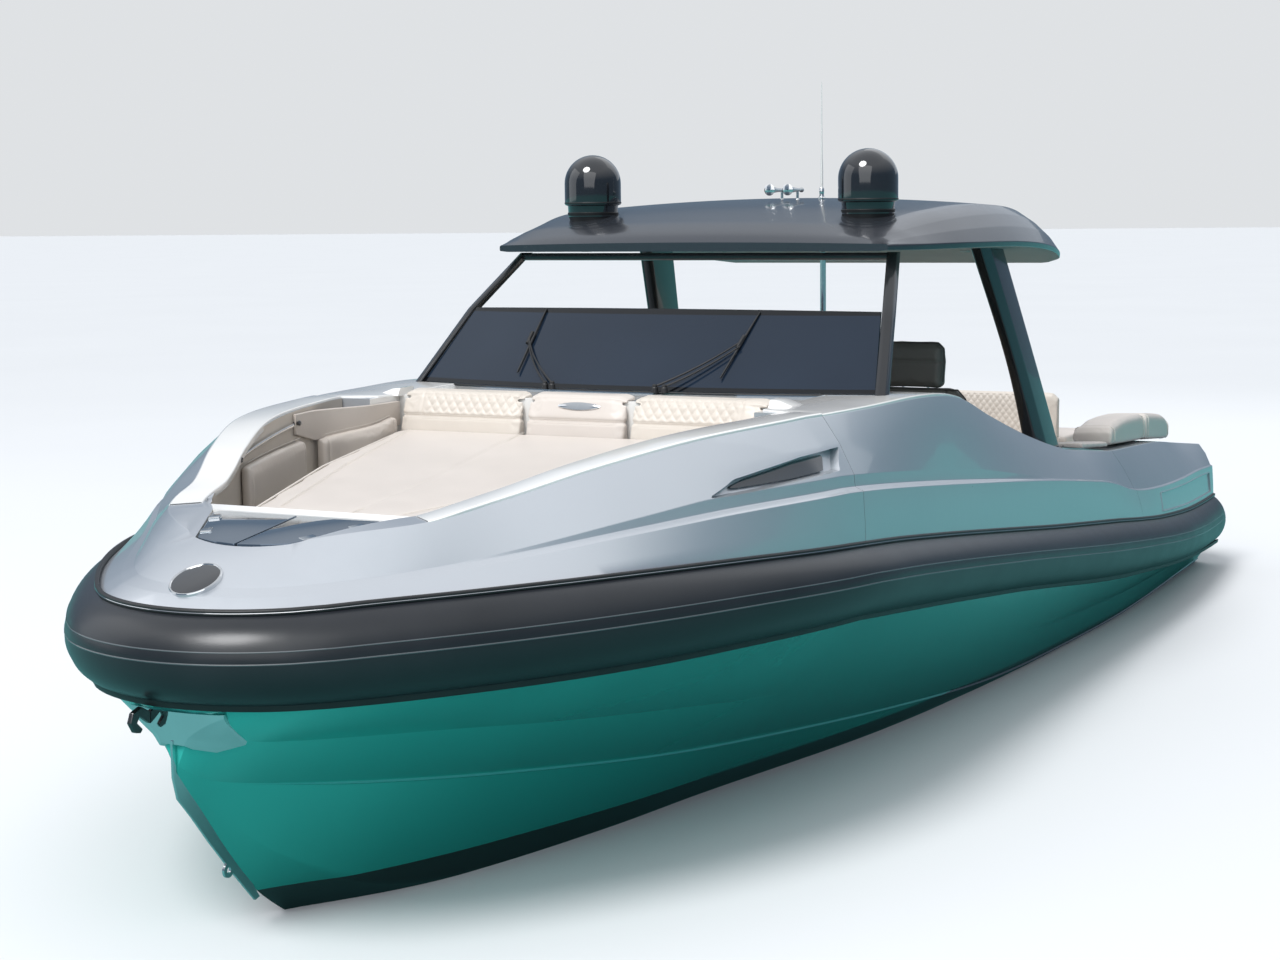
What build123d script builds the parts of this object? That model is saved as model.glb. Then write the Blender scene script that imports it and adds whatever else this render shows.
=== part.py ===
from build123d import *
from math import atan2, cos, degrees, radians, sin, sqrt
import os

# A fast open motor boat with a foam collar, a sunbed in the bow and a hard roof.
# Millimetres. +X is forward, +Y is port, +Z is up.
# The origin is on the centreline at the waterline, amidships.

os.makedirs("parts", exist_ok=True)

# Plan of the deck edge: nose arc, shoulder arc, straight side, quarter arc
bow_tip_x = 6017
nose_radius = 850
shoulder_radius = 4620
half_beam = 1858
taper_start_x = -2600
transom_x = -6100
stern_half_beam = half_beam - 193

# Clearances
fixed_gap = 2
moving_gap = 8
touch_gap = 1

# Collar
collar_bulge = 155
collar_bulge_loss = 45
collar_thins_x = -4000
collar_root = 40

# Coaming, well and cockpit
coaming_inset = 640
rail_cap_thickness = 14
wing_start_x = 2770
quarter_start_x = -2850
well_front_x = 5000
well_front_half = 580
well_mid = (3950, 1100)
well_aft_x = 2440
well_aft_half = half_beam - 458
well_floor_base_z = 900
well_floor_z = 1280
sole_z = 700
sole_thickness = 45
recess_aft_x = -700
helm_sole_aft_x = -600

# Locker in the nose, under two lids
locker_front_x = 5570
locker_aft_x = 5085
locker_front_half = 260
locker_aft_half = 500
locker_front_z = 1735
locker_aft_z = 1800
lid_thickness = 30

# Sunbed and its cushions
sunbed_front_x = 4935
sunbed_aft_x = 2545
sunbed_front_half = 457
sunbed_aft_half = 1130
sunbed_front_z = 1772
sunbed_aft_z = 1930
sunbed_thickness = 110

# Deckhouse between the bow well and the helm
house_aft_x = 450
house_top_z = 2110
house_wall = 50
cabin_floor_z = 450
cabin_front_x = well_aft_x - 260
cabin_half = 850
door_width = 560
door_height = 930
door_sill_z = 745
door_thickness = 36

# Windscreen
glass_thickness = 18
glass_base_z = 2125
glass_top_z = 2580
glass_base_centre_x = 1950
glass_base_corner_x = 1735
glass_base_half = half_beam - 358
glass_top_centre_x = 1430
glass_top_corner_x = 1290
glass_top_half = glass_base_half - 135
pillar_width = 60
pillar_depth = 110
header_x = 860
header_z = 2880
header_depth = 90
header_height = 55

# Roof, arches, domes and mast
roof_edge = 55
arch_foot_x = -1775
arch_foot_y = half_beam - 438
dome_x = 480
dome_y = 967
dome_diameter = 370
dome_base_z = 3150
dome_top_z = 3530
mast_x = -260
mast_y = 350
mast_top_z = 3990

# Stern
box_front_x = transom_x + 1110
box_aft_x = transom_x + 140
box_top_z = 1080
box_port_y = 620
box_starboard_y = -955
box_wall = 60
hatch_thickness = 50
pad_thickness = 110
platform_length = 820
platform_half = 1330
platform_z = 420
platform_thickness = 90

# Engines and drives
engine_length = 1050
engine_width = 680
engine_height = 760
engine_y = 420
engine_head_room = 45
engine_floor_z = sole_z - sole_thickness - engine_head_room - engine_height
bay_half = 900
bay_wall = 90
bay_slack = 120
bay_aft_x = transom_x + bay_wall
bay_front_x = bay_aft_x + engine_length + bay_slack
steer_x = transom_x - 230
tilt_z = 10
propeller_radius = 200
propeller_hub_radius = 52
propeller_x = transom_x - 700
propeller_z = -720

# Plan geometry worked out from the values above
nose_x = bow_tip_x - nose_radius
shoulder_y = half_beam - shoulder_radius
shoulder_x = nose_x - sqrt((shoulder_radius - nose_radius) ** 2 - shoulder_y**2)
taper_length = taper_start_x - transom_x
taper_drop = half_beam - stern_half_beam
quarter_radius = (taper_length**2 + taper_drop**2) / (2 * taper_drop)
quarter_y = half_beam - quarter_radius
nose_join_angle = atan2(-shoulder_y, nose_x - shoulder_x)
nose_join_x = nose_x + nose_radius * cos(nose_join_angle)


# The tables below were drawn for this beam and this transom, and follow the real ones
drawn_half_beam = 1858
drawn_transom_x = -6100
beam_scale = half_beam / drawn_half_beam
aft_scale = (transom_x - taper_start_x) / (drawn_transom_x - taper_start_x)


def placed(x):
    """A length from a table, moved with the transom where it is aft of the straight side."""
    if x > taper_start_x:
        return x
    return taper_start_x + (x - taper_start_x) * aft_scale


def placed_rows(table):
    """A table's rows with their lengths moved with the transom."""
    return [(placed(row[0]), *row[1:]) for row in table]


def edge_at(x):
    """Half-breadth of the deck edge at length x, and its outward direction."""
    if x > nose_join_x:
        y = sqrt(max(nose_radius**2 - (x - nose_x) ** 2, 0))
        return y, (x - nose_x) / nose_radius, y / nose_radius
    if x > shoulder_x:
        rise = sqrt(shoulder_radius**2 - (x - shoulder_x) ** 2)
        return shoulder_y + rise, (x - shoulder_x) / shoulder_radius, rise / shoulder_radius
    if x > taper_start_x:
        return half_beam, 0, 1
    rise = sqrt(quarter_radius**2 - (x - taper_start_x) ** 2)
    return quarter_y + rise, (x - taper_start_x) / quarter_radius, rise / quarter_radius


def edge_plane(x, side=1):
    """Upright plane square to the deck edge: its X is inboard and its Y is up."""
    y, out_x, out_y = edge_at(x)
    return Plane(
        origin=(x, side * y, 0),
        x_dir=(-out_x, -side * out_y, 0),
        z_dir=(-side * out_y, out_x, 0),
    )


def inset_half(x, inset):
    """Half-breadth of the deck edge moved inboard by inset, at length x."""
    if x > shoulder_x:
        return shoulder_y + sqrt((shoulder_radius - inset) ** 2 - (x - shoulder_x) ** 2)
    if x > taper_start_x:
        return half_beam - inset
    return quarter_y + sqrt((quarter_radius - inset) ** 2 - (x - taper_start_x) ** 2)


def plan_prism(inset, aft_x, low_z=-800, high_z=2600):
    """The deck edge's plan, moved inboard by inset, as an upright prism."""
    nose = nose_radius - inset
    shoulder = shoulder_radius - inset
    side_y = half_beam - inset
    join = (
        nose_x + nose * cos(nose_join_angle),
        nose * sin(nose_join_angle),
    )
    half_join = (1.5708 + nose_join_angle) / 2
    shoulder_middle = (
        shoulder_x + shoulder * cos(half_join),
        shoulder_y + shoulder * sin(half_join),
    )
    aft_y = inset_half(aft_x, inset)
    middle_x = (taper_start_x + aft_x) / 2
    with BuildPart() as prism:
        with BuildSketch(Plane.XY.offset(low_z)):
            with BuildLine():
                ThreePointArc((join[0], -join[1]), (nose_x + nose, 0), join)
                for side in (1, -1):
                    ThreePointArc(
                        (join[0], side * join[1]),
                        (shoulder_middle[0], side * shoulder_middle[1]),
                        (shoulder_x, side * side_y),
                    )
                    Line((shoulder_x, side * side_y), (taper_start_x, side * side_y))
                    ThreePointArc(
                        (taper_start_x, side * side_y),
                        (middle_x, side * inset_half(middle_x, inset)),
                        (aft_x, side * aft_y),
                    )
                Line((aft_x, aft_y), (aft_x, -aft_y))
            make_face()
        extrude(amount=high_z - low_z)
    return prism.part


def slab(low, high):
    """A box from its lowest to its highest corner."""
    with BuildPart() as block:
        with BuildSketch(Plane.XY.offset(low[2])):
            with Locations(((low[0] + high[0]) / 2, (low[1] + high[1]) / 2)):
                Rectangle(high[0] - low[0], high[1] - low[1])
        extrude(amount=high[2] - low[2])
    return block.part


def row_at(table, x):
    """A row of a table at length x, on a smooth curve through its rows' values."""
    xs = [row[0] for row in table]
    for i in range(len(table) - 1):
        if xs[i] >= x >= xs[i + 1] or xs[i] <= x <= xs[i + 1]:
            break
    before, after = max(i - 1, 0), min(i + 2, len(table) - 1)
    span = xs[i + 1] - xs[i]
    t = (x - xs[i]) / span
    row = [x]
    for p0, p1, p2, p3 in zip(*(table[k][1:] for k in (before, i, i + 1, after))):
        start = (p2 - p0) / (xs[i + 1] - xs[before]) * span
        end = (p3 - p1) / (xs[after] - xs[i]) * span
        row.append(
            p1
            + t * start
            + t**2 * (3 * (p2 - p1) - 2 * start - end)
            + t**3 * (2 * (p1 - p2) + start + end)
        )
    return row


def rows_between(table, positions):
    """The table's smooth rows at each of a list of lengths."""
    return [row_at(table, x) for x in positions]


# Sheer line under the collar, where hull and deck mouldings meet: x, z
sheer_line = placed_rows(
    [
        (6400, 1115),
        (3400, 1115),
        (2280, 1020),
        (560, 837),
        (-1700, 553),
        (-4200, 314),
        (-6400, 165),
    ]
)
sheer_aft_x = sheer_line[-1][0]
with BuildPart() as above_sheer:
    with BuildSketch(Plane.XZ):
        with BuildLine():
            Polyline(*sheer_line, (sheer_aft_x, 2800), (6400, 2800), close=True)
        make_face()
    extrude(amount=2500, both=True)
with BuildPart() as below_sheer:
    with BuildSketch(Plane.XZ):
        with BuildLine():
            Polyline(*sheer_line, (sheer_aft_x, -900), (6400, -900), close=True)
        make_face()
    extrude(amount=2500, both=True)


def sheer_at(x):
    """Height of the sheer line at length x."""
    for (x1, z1), (x2, z2) in zip(sheer_line, sheer_line[1:]):
        if x >= x2:
            return z1 + (z2 - z1) * (x - x1) / (x2 - x1)
    return sheer_line[-1][1]


# Hull sections: x, keel z, bilge y z, spray knuckle y z, upper knuckle y z, top y z
hull_sections = [
    (-6100, -600, 1515, 0, 1530, 35, 1625, 175, 1675, 190),
    (-3500, -640, 1560, 0, 1580, 25, 1680, 225, 1842, 375),
    (-2000, -650, 1510, 0, 1525, 25, 1660, 270, 1858, 515),
    (-500, -650, 1415, 0, 1435, 50, 1630, 343, 1858, 704),
    (1000, -630, 1235, 0, 1304, 160, 1554, 447, 1858, 884),
    (2700, -580, 870, 0, 1080, 316, 1390, 606, 1857, 1055),
    (3500, -530, 720, 0, 930, 400, 1257, 697, 1770, 1115),
    (4450, -400, 470, 0, 656, 518, 995, 800, 1470, 1115),
    (5000, -170, 290, 90, 454, 594, 760, 860, 1180, 1115),
    (5470, 130, 120, 330, 229, 665, 500, 900, 880, 1115),
    (5780, 475, 22, 580, 60, 724, 300, 930, 600, 1115),
    (5950, 700, 8, 740, 24, 800, 150, 965, 350, 1115),
    (6020, 790, 4, 815, 10, 850, 60, 985, 200, 1115),
]
hull_lengths = [-6100, -4800, -3500, -2000, -500, 1000, 1900, 2700, 3500, 4000, 4450]
hull_lengths += [4750, 5000, 5250, 5470, 5640, 5780, 5880, 5950, 6020]


def hull_body(lengths, growth):
    """The hull's loft over some of its lengths, grown outwards by a thickness."""
    with BuildPart() as body:
        for row in rows_between(placed_rows(hull_sections), [placed(x) for x in lengths]):
            x, keel, y1, z1, y2, z2, y3, z3, y4, z4 = row
            half = [(y1, z1), (y2, z2), (y3, z3), (y4, z4), (y4, z4 + 80)]
            half = [(y * beam_scale, z) for y, z in half]
            with BuildSketch(Plane.YZ.offset(x)):
                with BuildLine():
                    Polyline((0, keel), *half, *[(-y, z) for y, z in reversed(half)], close=True)
                make_face()
                if growth:
                    offset(amount=growth, kind=Kind.INTERSECTION)
        loft(ruled=True)
    return body.part




def cockpit_and_cabin(sole_half, berth_half):
    """The space beside the helm and in the cabin, from the floors up, for two half-widths."""
    with BuildPart() as space:
        add(
            slab(
                (recess_aft_x, -sole_half, sole_z - sole_thickness),
                (house_aft_x + house_wall, sole_half, 1300),
            )
        )
        add(
            slab(
                (house_aft_x + house_wall, -berth_half, cabin_floor_z),
                (cabin_front_x, berth_half, 1300),
            )
        )
    return space.part


with BuildPart() as hull_blank:
    add(hull_body(hull_lengths, 0))
    add(plan_prism(0, transom_x), mode=Mode.INTERSECT)
    add(below_sheer.part, mode=Mode.INTERSECT)

# Topsides beside the helm and the cabin
for side, name in ((1, "port"), (-1, "starboard")):
    across = sorted((0, side * 2500))
    with BuildPart() as topside:
        add(hull_blank.part)
        add(cockpit_and_cabin(2500, 2500), mode=Mode.INTERSECT)
        add(cockpit_and_cabin(half_beam - coaming_inset, cabin_half), mode=Mode.SUBTRACT)
        add(slab((-2000, across[0], -900), (4000, across[1], 1500)), mode=Mode.INTERSECT)
    topside.part.label = f"topside_{name}"
    export_step(topside.part, f"parts/topside_{name}.step")

with BuildPart() as hull:
    add(hull_blank.part)
    add(cockpit_and_cabin(2500, 2500), mode=Mode.SUBTRACT)
    # engine bay
    add(
        slab(
            (bay_aft_x, -bay_half, engine_floor_z),
            (bay_front_x, bay_half, 800),
        ),
        mode=Mode.SUBTRACT,
    )
hull.part.label = "hull"
export_step(hull.part, "parts/hull.step")

# Deck edge stations: x, low z, seam z, crease inset z, ledge, rail inset z, cap width, rise
edge_stations = [
    (6017, 1115, 1508, 90, 1568, 60, 457, 1730, 170, 32),
    (5965, 1115, 1510, 90, 1568, 60, 450, 1735, 170, 30),
    (5810, 1115, 1516, 95, 1574, 58, 425, 1752, 170, 26),
    (5600, 1115, 1526, 110, 1587, 50, 355, 1785, 160, 18),
    (5310, 1117, 1531, 140, 1612, 42, 315, 1814, 155, 6),
    (4950, 1118, 1533, 150, 1645, 40, 392, 1872, 165, 2),
    (4450, 1119, 1528, 90, 1700, 42, 373, 1978, 185, 2),
    (3830, 1118, 1507, 38, 1738, 45, 312, 2066, 198, 2),
    (2970, 1090, 1455, 16, 1733, 45, 268, 2100, 196, 2),
    (2770, 1073, 1440, 15, 1722, 45, 245, 2102, 196, 2),
    (2300, 1025, 1398, 15, 1683, 45, 190, 2106, 200, 2),
    (1500, 940, 1313, 15, 1606, 45, 140, 2108, 230, 2),
    (900, 873, 1245, 15, 1545, 40, 150, 2050, 230, 2),
    (250, 800, 1170, 15, 1478, 30, 170, 1880, 230, 2),
    (-600, 694, 1072, 15, 1385, 15, 185, 1670, 230, 2),
    (-1500, 578, 975, 20, 1275, 12, 190, 1490, 230, 2),
    (-2200, 500, 900, 30, 1180, 12, 190, 1418, 230, 2),
    (-2850, 442, 825, 45, 1050, 12, 190, 1362, 230, 2),
    (-3500, 380, 758, 34, 990, 12, 205, 1318, 230, 2),
    (-4500, 296, 678, 38, 940, 12, 238, 1240, 230, 2),
    (-5400, 237, 630, 46, 905, 12, 255, 1140, 230, 2),
    (-6100, 190, 600, 15, 870, 12, 135, 1060, 230, 2),
]
edge_stations = placed_rows(edge_stations)
overhang = 12


def clamp(value):
    """A value held between 0 and 1."""
    return min(max(value, 0), 1)


def flank_rise(x):
    """Height of the steep riser that stands on the ledge, at length x."""
    return 3 + 59 * clamp((5250 - x) / 1200) * clamp((x + 700) / 1500)



def deck_profile(station, inner, side, pocket=0):
    """One section of the deck moulding, square to the deck edge, its flank set in by a pocket."""
    x, low, seam, crease, crease_z, ledge, rail, rail_z, width, rise = station
    slope = (crease_z - seam) / crease
    ledge_z = crease_z + ledge * 0.45
    with BuildSketch(edge_plane(x, side)) as section:
        with BuildLine():
            Polyline(
                (-overhang, low - 90),
                (-overhang, seam - overhang * slope),
                (crease, crease_z),
                (crease + ledge + pocket, ledge_z),
                (crease + ledge + 6 + pocket, ledge_z + flank_rise(x)),
                (rail + pocket, rail_z),
                (rail + width, rail_z + rise),
                (inner, rail_z + rise * 1.5),
                (inner, low - 90),
                close=True,
            )
        make_face()
    return section.sketch


with BuildPart() as well_hole:
    with BuildSketch(Plane.XY.offset(900)):
        with BuildLine():
            Line((well_front_x, well_front_half), (well_front_x, -well_front_half))
            for side in (1, -1):
                ThreePointArc(
                    (well_front_x, side * well_front_half),
                    (well_mid[0], side * well_mid[1]),
                    (wing_start_x, side * well_aft_half),
                )
                Line(
                    (wing_start_x, side * well_aft_half),
                    (well_aft_x, side * well_aft_half),
                )
            Line((well_aft_x, well_aft_half), (well_aft_x, -well_aft_half))
        make_face()
    extrude(amount=1500)

with BuildPart() as locker_hole:
    with BuildSketch(Plane.XY.offset(1000)) as locker_plan:
        with BuildLine():
            ThreePointArc(
                (locker_front_x - 60, -locker_front_half),
                (locker_front_x, 0),
                (locker_front_x - 60, locker_front_half),
            )
            Line((locker_front_x - 60, locker_front_half), (locker_aft_x, locker_aft_half))
            Line((locker_aft_x, locker_aft_half), (locker_aft_x, -locker_aft_half))
            Line((locker_aft_x, -locker_aft_half), (locker_front_x - 60, -locker_front_half))
        make_face()
    extrude(amount=1000)

nose_lengths = [nose_x + nose_radius * cos(radians(a)) for a in (0, 9, 18, 27, 37)]
shoulder_lengths = [
    shoulder_x + shoulder_radius * cos(radians(a)) for a in (47, 50, 53, 57, 61, 65, 69.5, 74, 78.5, 83)
]
side_lengths = [2770, 2300, 1900, 1500, 1150, 850, 500, 0, -500, -1000, -1500, -2000, -2450]
quarter_lengths = [-2850] + [placed(x) for x in (-3500, -4300, -5000, -5600, -6100)]
forward = rows_between(edge_stations, nose_lengths + shoulder_lengths + side_lengths[:1])
foredeck_inner = 790
sections = [deck_profile(station, foredeck_inner, -1) for station in reversed(forward)]
sections += [deck_profile(station, foredeck_inner, 1) for station in forward[1:]]

# Side windows in a pocket of the foredeck's flank: pocket and glass outlines, x z
pocket_depth = 45
window_depth = 30
pocket_outline = [
    (4020, 1815),
    (3550, 1908),
    (3200, 1927),
    (wing_start_x + 14, 1940),
    (2905, 1844),
    (3310, 1836),
]
window_outline = [(3770, 1850), (3686, 1872), (3200, 1914), (2925, 1921), (3010, 1852), (3310, 1845)]
window_lengths = [4150, 3900, 3650, 3400, 3150, 2900, 2700]


def flank_core(pocket, side):
    """The deck moulding near the side windows, with its flank set in by a pocket."""
    rows = rows_between(edge_stations, window_lengths)
    with BuildPart() as core:
        loft([deck_profile(row, foredeck_inner, side, pocket) for row in rows], ruled=True)
    return core.part


def flank_prism(outline, side):
    """An outline seen from abeam, through one side of the boat."""
    with BuildPart() as prism:
        with BuildSketch(Plane.XZ.offset(-side * 1000)):
            with BuildLine():
                Polyline(*outline, close=True)
            make_face()
        extrude(amount=-side * 1000)
    return prism.part


cores = {side: flank_core(pocket_depth, side) for side in (1, -1)}
with BuildPart() as side_windows:
    for side in (1, -1):
        with BuildPart(mode=Mode.PRIVATE) as window:
            add(flank_core(window_depth, side))
            add(cores[side], mode=Mode.SUBTRACT)
            add(flank_prism(window_outline, side), mode=Mode.INTERSECT)
        add(window.part)
side_windows.part.label = "side_windows"
export_step(side_windows.part, "parts/side_windows.step")

with BuildPart() as foredeck:
    loft(sections, ruled=True)
    for side in (1, -1):
        with BuildPart(mode=Mode.PRIVATE) as pocket:
            add(flank_prism(pocket_outline, side))
            add(cores[side], mode=Mode.SUBTRACT)
        add(pocket.part, mode=Mode.SUBTRACT)
    add(plan_prism(0, transom_x), mode=Mode.INTERSECT)
    add(above_sheer.part, mode=Mode.INTERSECT)
    add(well_hole.part, mode=Mode.SUBTRACT)
    add(locker_hole.part, mode=Mode.SUBTRACT)
foredeck.part.label = "foredeck"
export_step(foredeck.part, "parts/foredeck.step")


def side_moulding(start_x, end_x, side):
    """A length of the deck's side, cut to the deck edge and the coaming wall."""
    lengths = [x for x in side_lengths + quarter_lengths if end_x <= x <= start_x]
    rows = rows_between(edge_stations, lengths)
    with BuildPart() as moulding:
        loft([deck_profile(row, coaming_inset + 60, side) for row in rows], ruled=True)
        add(plan_prism(0, transom_x), mode=Mode.INTERSECT)
        add(plan_prism(coaming_inset, transom_x - 50), mode=Mode.SUBTRACT)
        add(above_sheer.part, mode=Mode.INTERSECT)
        add(
            slab((end_x, -2500, -900), (start_x - fixed_gap, 2500, 2800)),
            mode=Mode.INTERSECT,
        )
    return moulding.part


wings = {}
for side, name in ((1, "port"), (-1, "starboard")):
    wing = side_moulding(wing_start_x, quarter_start_x, side)
    wings[side] = wing
    wing.label = f"side_wing_{name}"
    export_step(wing, f"parts/side_wing_{name}.step")
    quarter = side_moulding(quarter_start_x, transom_x, side)
    quarter.label = f"quarter_{name}"
    export_step(quarter, f"parts/quarter_{name}.step")

# Foam collar, in two lengths that meet at the bow
for side, name in ((1, "port"), (-1, "starboard")):
    with BuildPart() as collar:
        lengths = nose_lengths + shoulder_lengths + side_lengths + quarter_lengths
        for station in rows_between(edge_stations, lengths):
            x, low, seam = station[:3]
            middle = (low + seam) / 2
            thinning = clamp((collar_thins_x - x) / (collar_thins_x - transom_x))
            bulge = collar_bulge - collar_bulge_loss * thinning
            with BuildSketch(edge_plane(x, side)):
                with BuildLine():
                    Line((collar_root, low), (0, low))
                    ThreePointArc((0, low), (-bulge, middle), (0, seam))
                    Line((0, seam), (collar_root, seam))
                    Line((collar_root, seam), (collar_root, low))
                make_face()
        loft(ruled=True)
        add(plan_prism(-fixed_gap, transom_x - 200), mode=Mode.SUBTRACT)
    collar.part.label = f"collar_{name}"
    export_step(collar.part, f"parts/collar_{name}.step")

# White caps along the rails, in a forward length and an aft length on each side
cap_front_x = 5310
cap_aft_x = 850
wing_cap_width = 92
cap_joint_gap = 6
with BuildPart() as rail_caps:
    for side in (1, -1):
        for front_x, aft_x, widest in (
            (cap_front_x, wing_start_x, 400),
            (wing_start_x, cap_aft_x, wing_cap_width),
        ):
            lengths = [
                x for x in nose_lengths + shoulder_lengths + side_lengths if aft_x <= x <= front_x
            ]
            with BuildPart(mode=Mode.PRIVATE) as cap:
                for row in rows_between(edge_stations, lengths):
                    x, _, _, _, _, _, rail, rail_z, width, rise = row
                    inner = rail + min(width, widest)
                    low = rail_z + touch_gap
                    with BuildSketch(edge_plane(x, side)):
                        with BuildLine():
                            Polyline(
                                (rail + 4, low),
                                (rail + 10, low + rail_cap_thickness),
                                (inner - 6, low + rise + rail_cap_thickness),
                                (inner, low + rise),
                                close=True,
                            )
                        make_face()
                loft(ruled=True)
            add(cap.part)
    add(
        slab((wing_start_x - cap_joint_gap, -half_beam, 2000), (wing_start_x, half_beam, 2300)),
        mode=Mode.SUBTRACT,
    )
rail_caps.part.label = "rail_caps"
export_step(rail_caps.part, "parts/rail_caps.step")

# Locker lids, sloping up aft, split on the centreline and hinged along their outboard edges
hinge_corner_cut = 36
hinge_length = sqrt(
    (locker_front_x - 60 - locker_aft_x) ** 2 + (locker_aft_half - locker_front_half) ** 2
)
hinge_x = (locker_front_x - 60 - locker_aft_x) / hinge_length
hinge_y = (locker_aft_half - locker_front_half) / hinge_length
hinge_turn = -degrees(atan2(hinge_y, hinge_x))
lid_slope = (locker_aft_z - locker_front_z) / (locker_front_x - locker_aft_x)
with BuildPart() as lid_layer:
    with BuildSketch(Plane.XZ):
        with BuildLine():
            Polyline(
                (locker_front_x + 100, locker_front_z - 100 * lid_slope),
                (locker_aft_x - 100, locker_aft_z + 100 * lid_slope),
                (locker_aft_x - 100, locker_aft_z + 100 * lid_slope - lid_thickness),
                (locker_front_x + 100, locker_front_z - 100 * lid_slope - lid_thickness),
                close=True,
            )
        make_face()
    extrude(amount=800, both=True)
for side, name in ((1, "port"), (-1, "starboard")):
    with BuildPart() as lid:
        with BuildSketch(Plane.XY.offset(1000)):
            add(locker_plan.sketch.faces())
            offset(amount=-moving_gap)
            with Locations((locker_aft_x, -side * 500)):
                Rectangle(1600, 1000 + moving_gap, mode=Mode.SUBTRACT)
            # clearance in the aft corner, square to the hinge
            with Locations(Location((locker_aft_x, side * locker_aft_half, 0), (0, 0, hinge_turn * side))):
                Rectangle(2 * hinge_corner_cut, 200, mode=Mode.SUBTRACT)
        extrude(amount=1000)
        add(lid_layer.part, mode=Mode.INTERSECT)
    lid.part.label = f"locker_lid_{name}"
    export_step(lid.part, f"parts/locker_lid_{name}.step")

# Floor of the bow well with the plinth that carries the sunbed
sunbed_slope = (sunbed_aft_z - sunbed_front_z) / (sunbed_front_x - sunbed_aft_x)
plinth_margin = 60
with BuildPart() as sunbed_plan:
    with BuildSketch(Plane.XY.offset(1000)):
        with BuildLine():
            Polyline(
                (sunbed_front_x, sunbed_front_half),
                (sunbed_front_x, -sunbed_front_half),
                (sunbed_front_x - 1250, -sunbed_front_half - 430),
                (sunbed_aft_x, -sunbed_aft_half),
                (sunbed_aft_x, sunbed_aft_half),
                (sunbed_front_x - 1250, sunbed_front_half + 430),
                close=True,
            )
        make_face()
    extrude(amount=1500)


def sunbed_layer(top_drop, depth):
    """A sloping layer under the sunbed's top, between two depths."""
    with BuildPart() as layer:
        with BuildSketch(Plane.XZ):
            with BuildLine():
                Polyline(
                    (sunbed_front_x + 200, sunbed_front_z - 200 * sunbed_slope - top_drop),
                    (sunbed_aft_x - 200, sunbed_aft_z + 200 * sunbed_slope - top_drop),
                    (sunbed_aft_x - 200, sunbed_aft_z + 200 * sunbed_slope - depth),
                    (sunbed_front_x + 200, sunbed_front_z - 200 * sunbed_slope - depth),
                    close=True,
                )
            make_face()
        extrude(amount=1800, both=True)
    return layer.part


with BuildPart() as sunbed_cushion:
    add(sunbed_plan.part)
    add(sunbed_layer(0, sunbed_thickness), mode=Mode.INTERSECT)
sunbed_cushion.part.label = "sunbed_cushion"
export_step(sunbed_cushion.part, "parts/sunbed_cushion.step")

with BuildPart() as well_liner:
    with BuildSketch(Plane.XY.offset(well_floor_base_z)):
        with BuildLine():
            front = well_front_x - fixed_gap
            Line((front, well_front_half - 6), (front, -well_front_half + 6))
            for side in (1, -1):
                ThreePointArc(
                    (front, side * (well_front_half - 6)),
                    (well_mid[0], side * (well_mid[1] - 6)),
                    (wing_start_x, side * (well_aft_half - 6)),
                )
                Line(
                    (wing_start_x, side * (well_aft_half - 6)),
                    (well_aft_x + fixed_gap, side * (well_aft_half - 6)),
                )
            Line(
                (well_aft_x + fixed_gap, well_aft_half - 6),
                (well_aft_x + fixed_gap, 6 - well_aft_half),
            )
        make_face()
    extrude(amount=well_floor_z - well_floor_base_z)
    add(above_sheer.part, mode=Mode.INTERSECT)
    # side decks of the wing mouldings take the corners aft of the panel joint
    side_deck_y = half_beam - coaming_inset - 8
    for side in (1, -1):
        across = sorted((side * side_deck_y, side * (side_deck_y + 290)))
        add(
            slab(
                (well_aft_x - 10, across[0], 800),
                (wing_start_x + fixed_gap, across[1], 1400),
            ),
            mode=Mode.SUBTRACT,
        )
    with BuildSketch(Plane.XY.offset(well_floor_z)):
        with BuildLine():
            margin = plinth_margin
            Polyline(
                (sunbed_front_x - margin, sunbed_front_half - margin),
                (sunbed_front_x - margin, margin - sunbed_front_half),
                (sunbed_aft_x + margin, margin - sunbed_aft_half),
                (sunbed_aft_x + margin, sunbed_aft_half - margin),
                close=True,
            )
        make_face()
    extrude(amount=700)
    add(sunbed_layer(-1500, sunbed_thickness), mode=Mode.SUBTRACT)
well_liner.part.label = "well_liner"
export_step(well_liner.part, "parts/well_liner.step")


def circle_through(first, second, third):
    """Centre and radius of the circle through three points of the plan."""
    (x1, y1), (x2, y2), (x3, y3) = first, second, third
    turn = 2 * (x1 * (y2 - y3) + x2 * (y3 - y1) + x3 * (y1 - y2))
    s1, s2, s3 = x1**2 + y1**2, x2**2 + y2**2, x3**2 + y3**2
    x = (s1 * (y2 - y3) + s2 * (y3 - y1) + s3 * (y1 - y2)) / turn
    y = (s1 * (x3 - x2) + s2 * (x1 - x3) + s3 * (x2 - x1)) / turn
    return x, y, sqrt((x1 - x) ** 2 + (y1 - y) ** 2)


wall_x, wall_y, wall_radius = circle_through(
    (well_front_x, well_front_half), well_mid, (wing_start_x, well_aft_half)
)


def well_wall(x):
    """Half-breadth of the bow well's wall at length x."""
    return wall_y + sqrt(wall_radius**2 - (x - wall_x) ** 2)


def long_piece(rows, corner, side):
    """A long piece with rounded edges, from rows of x, inner y, outer y, low z, high z."""
    with BuildPart() as piece:
        for x, inner, outer, low, high in rows:
            with BuildSketch(Plane.YZ.offset(x)):
                with Locations((side * (inner + outer) / 2, (low + high) / 2)):
                    RectangleRounded(outer - inner, high - low, corner)
        loft(ruled=True)
    return piece.part


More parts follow.
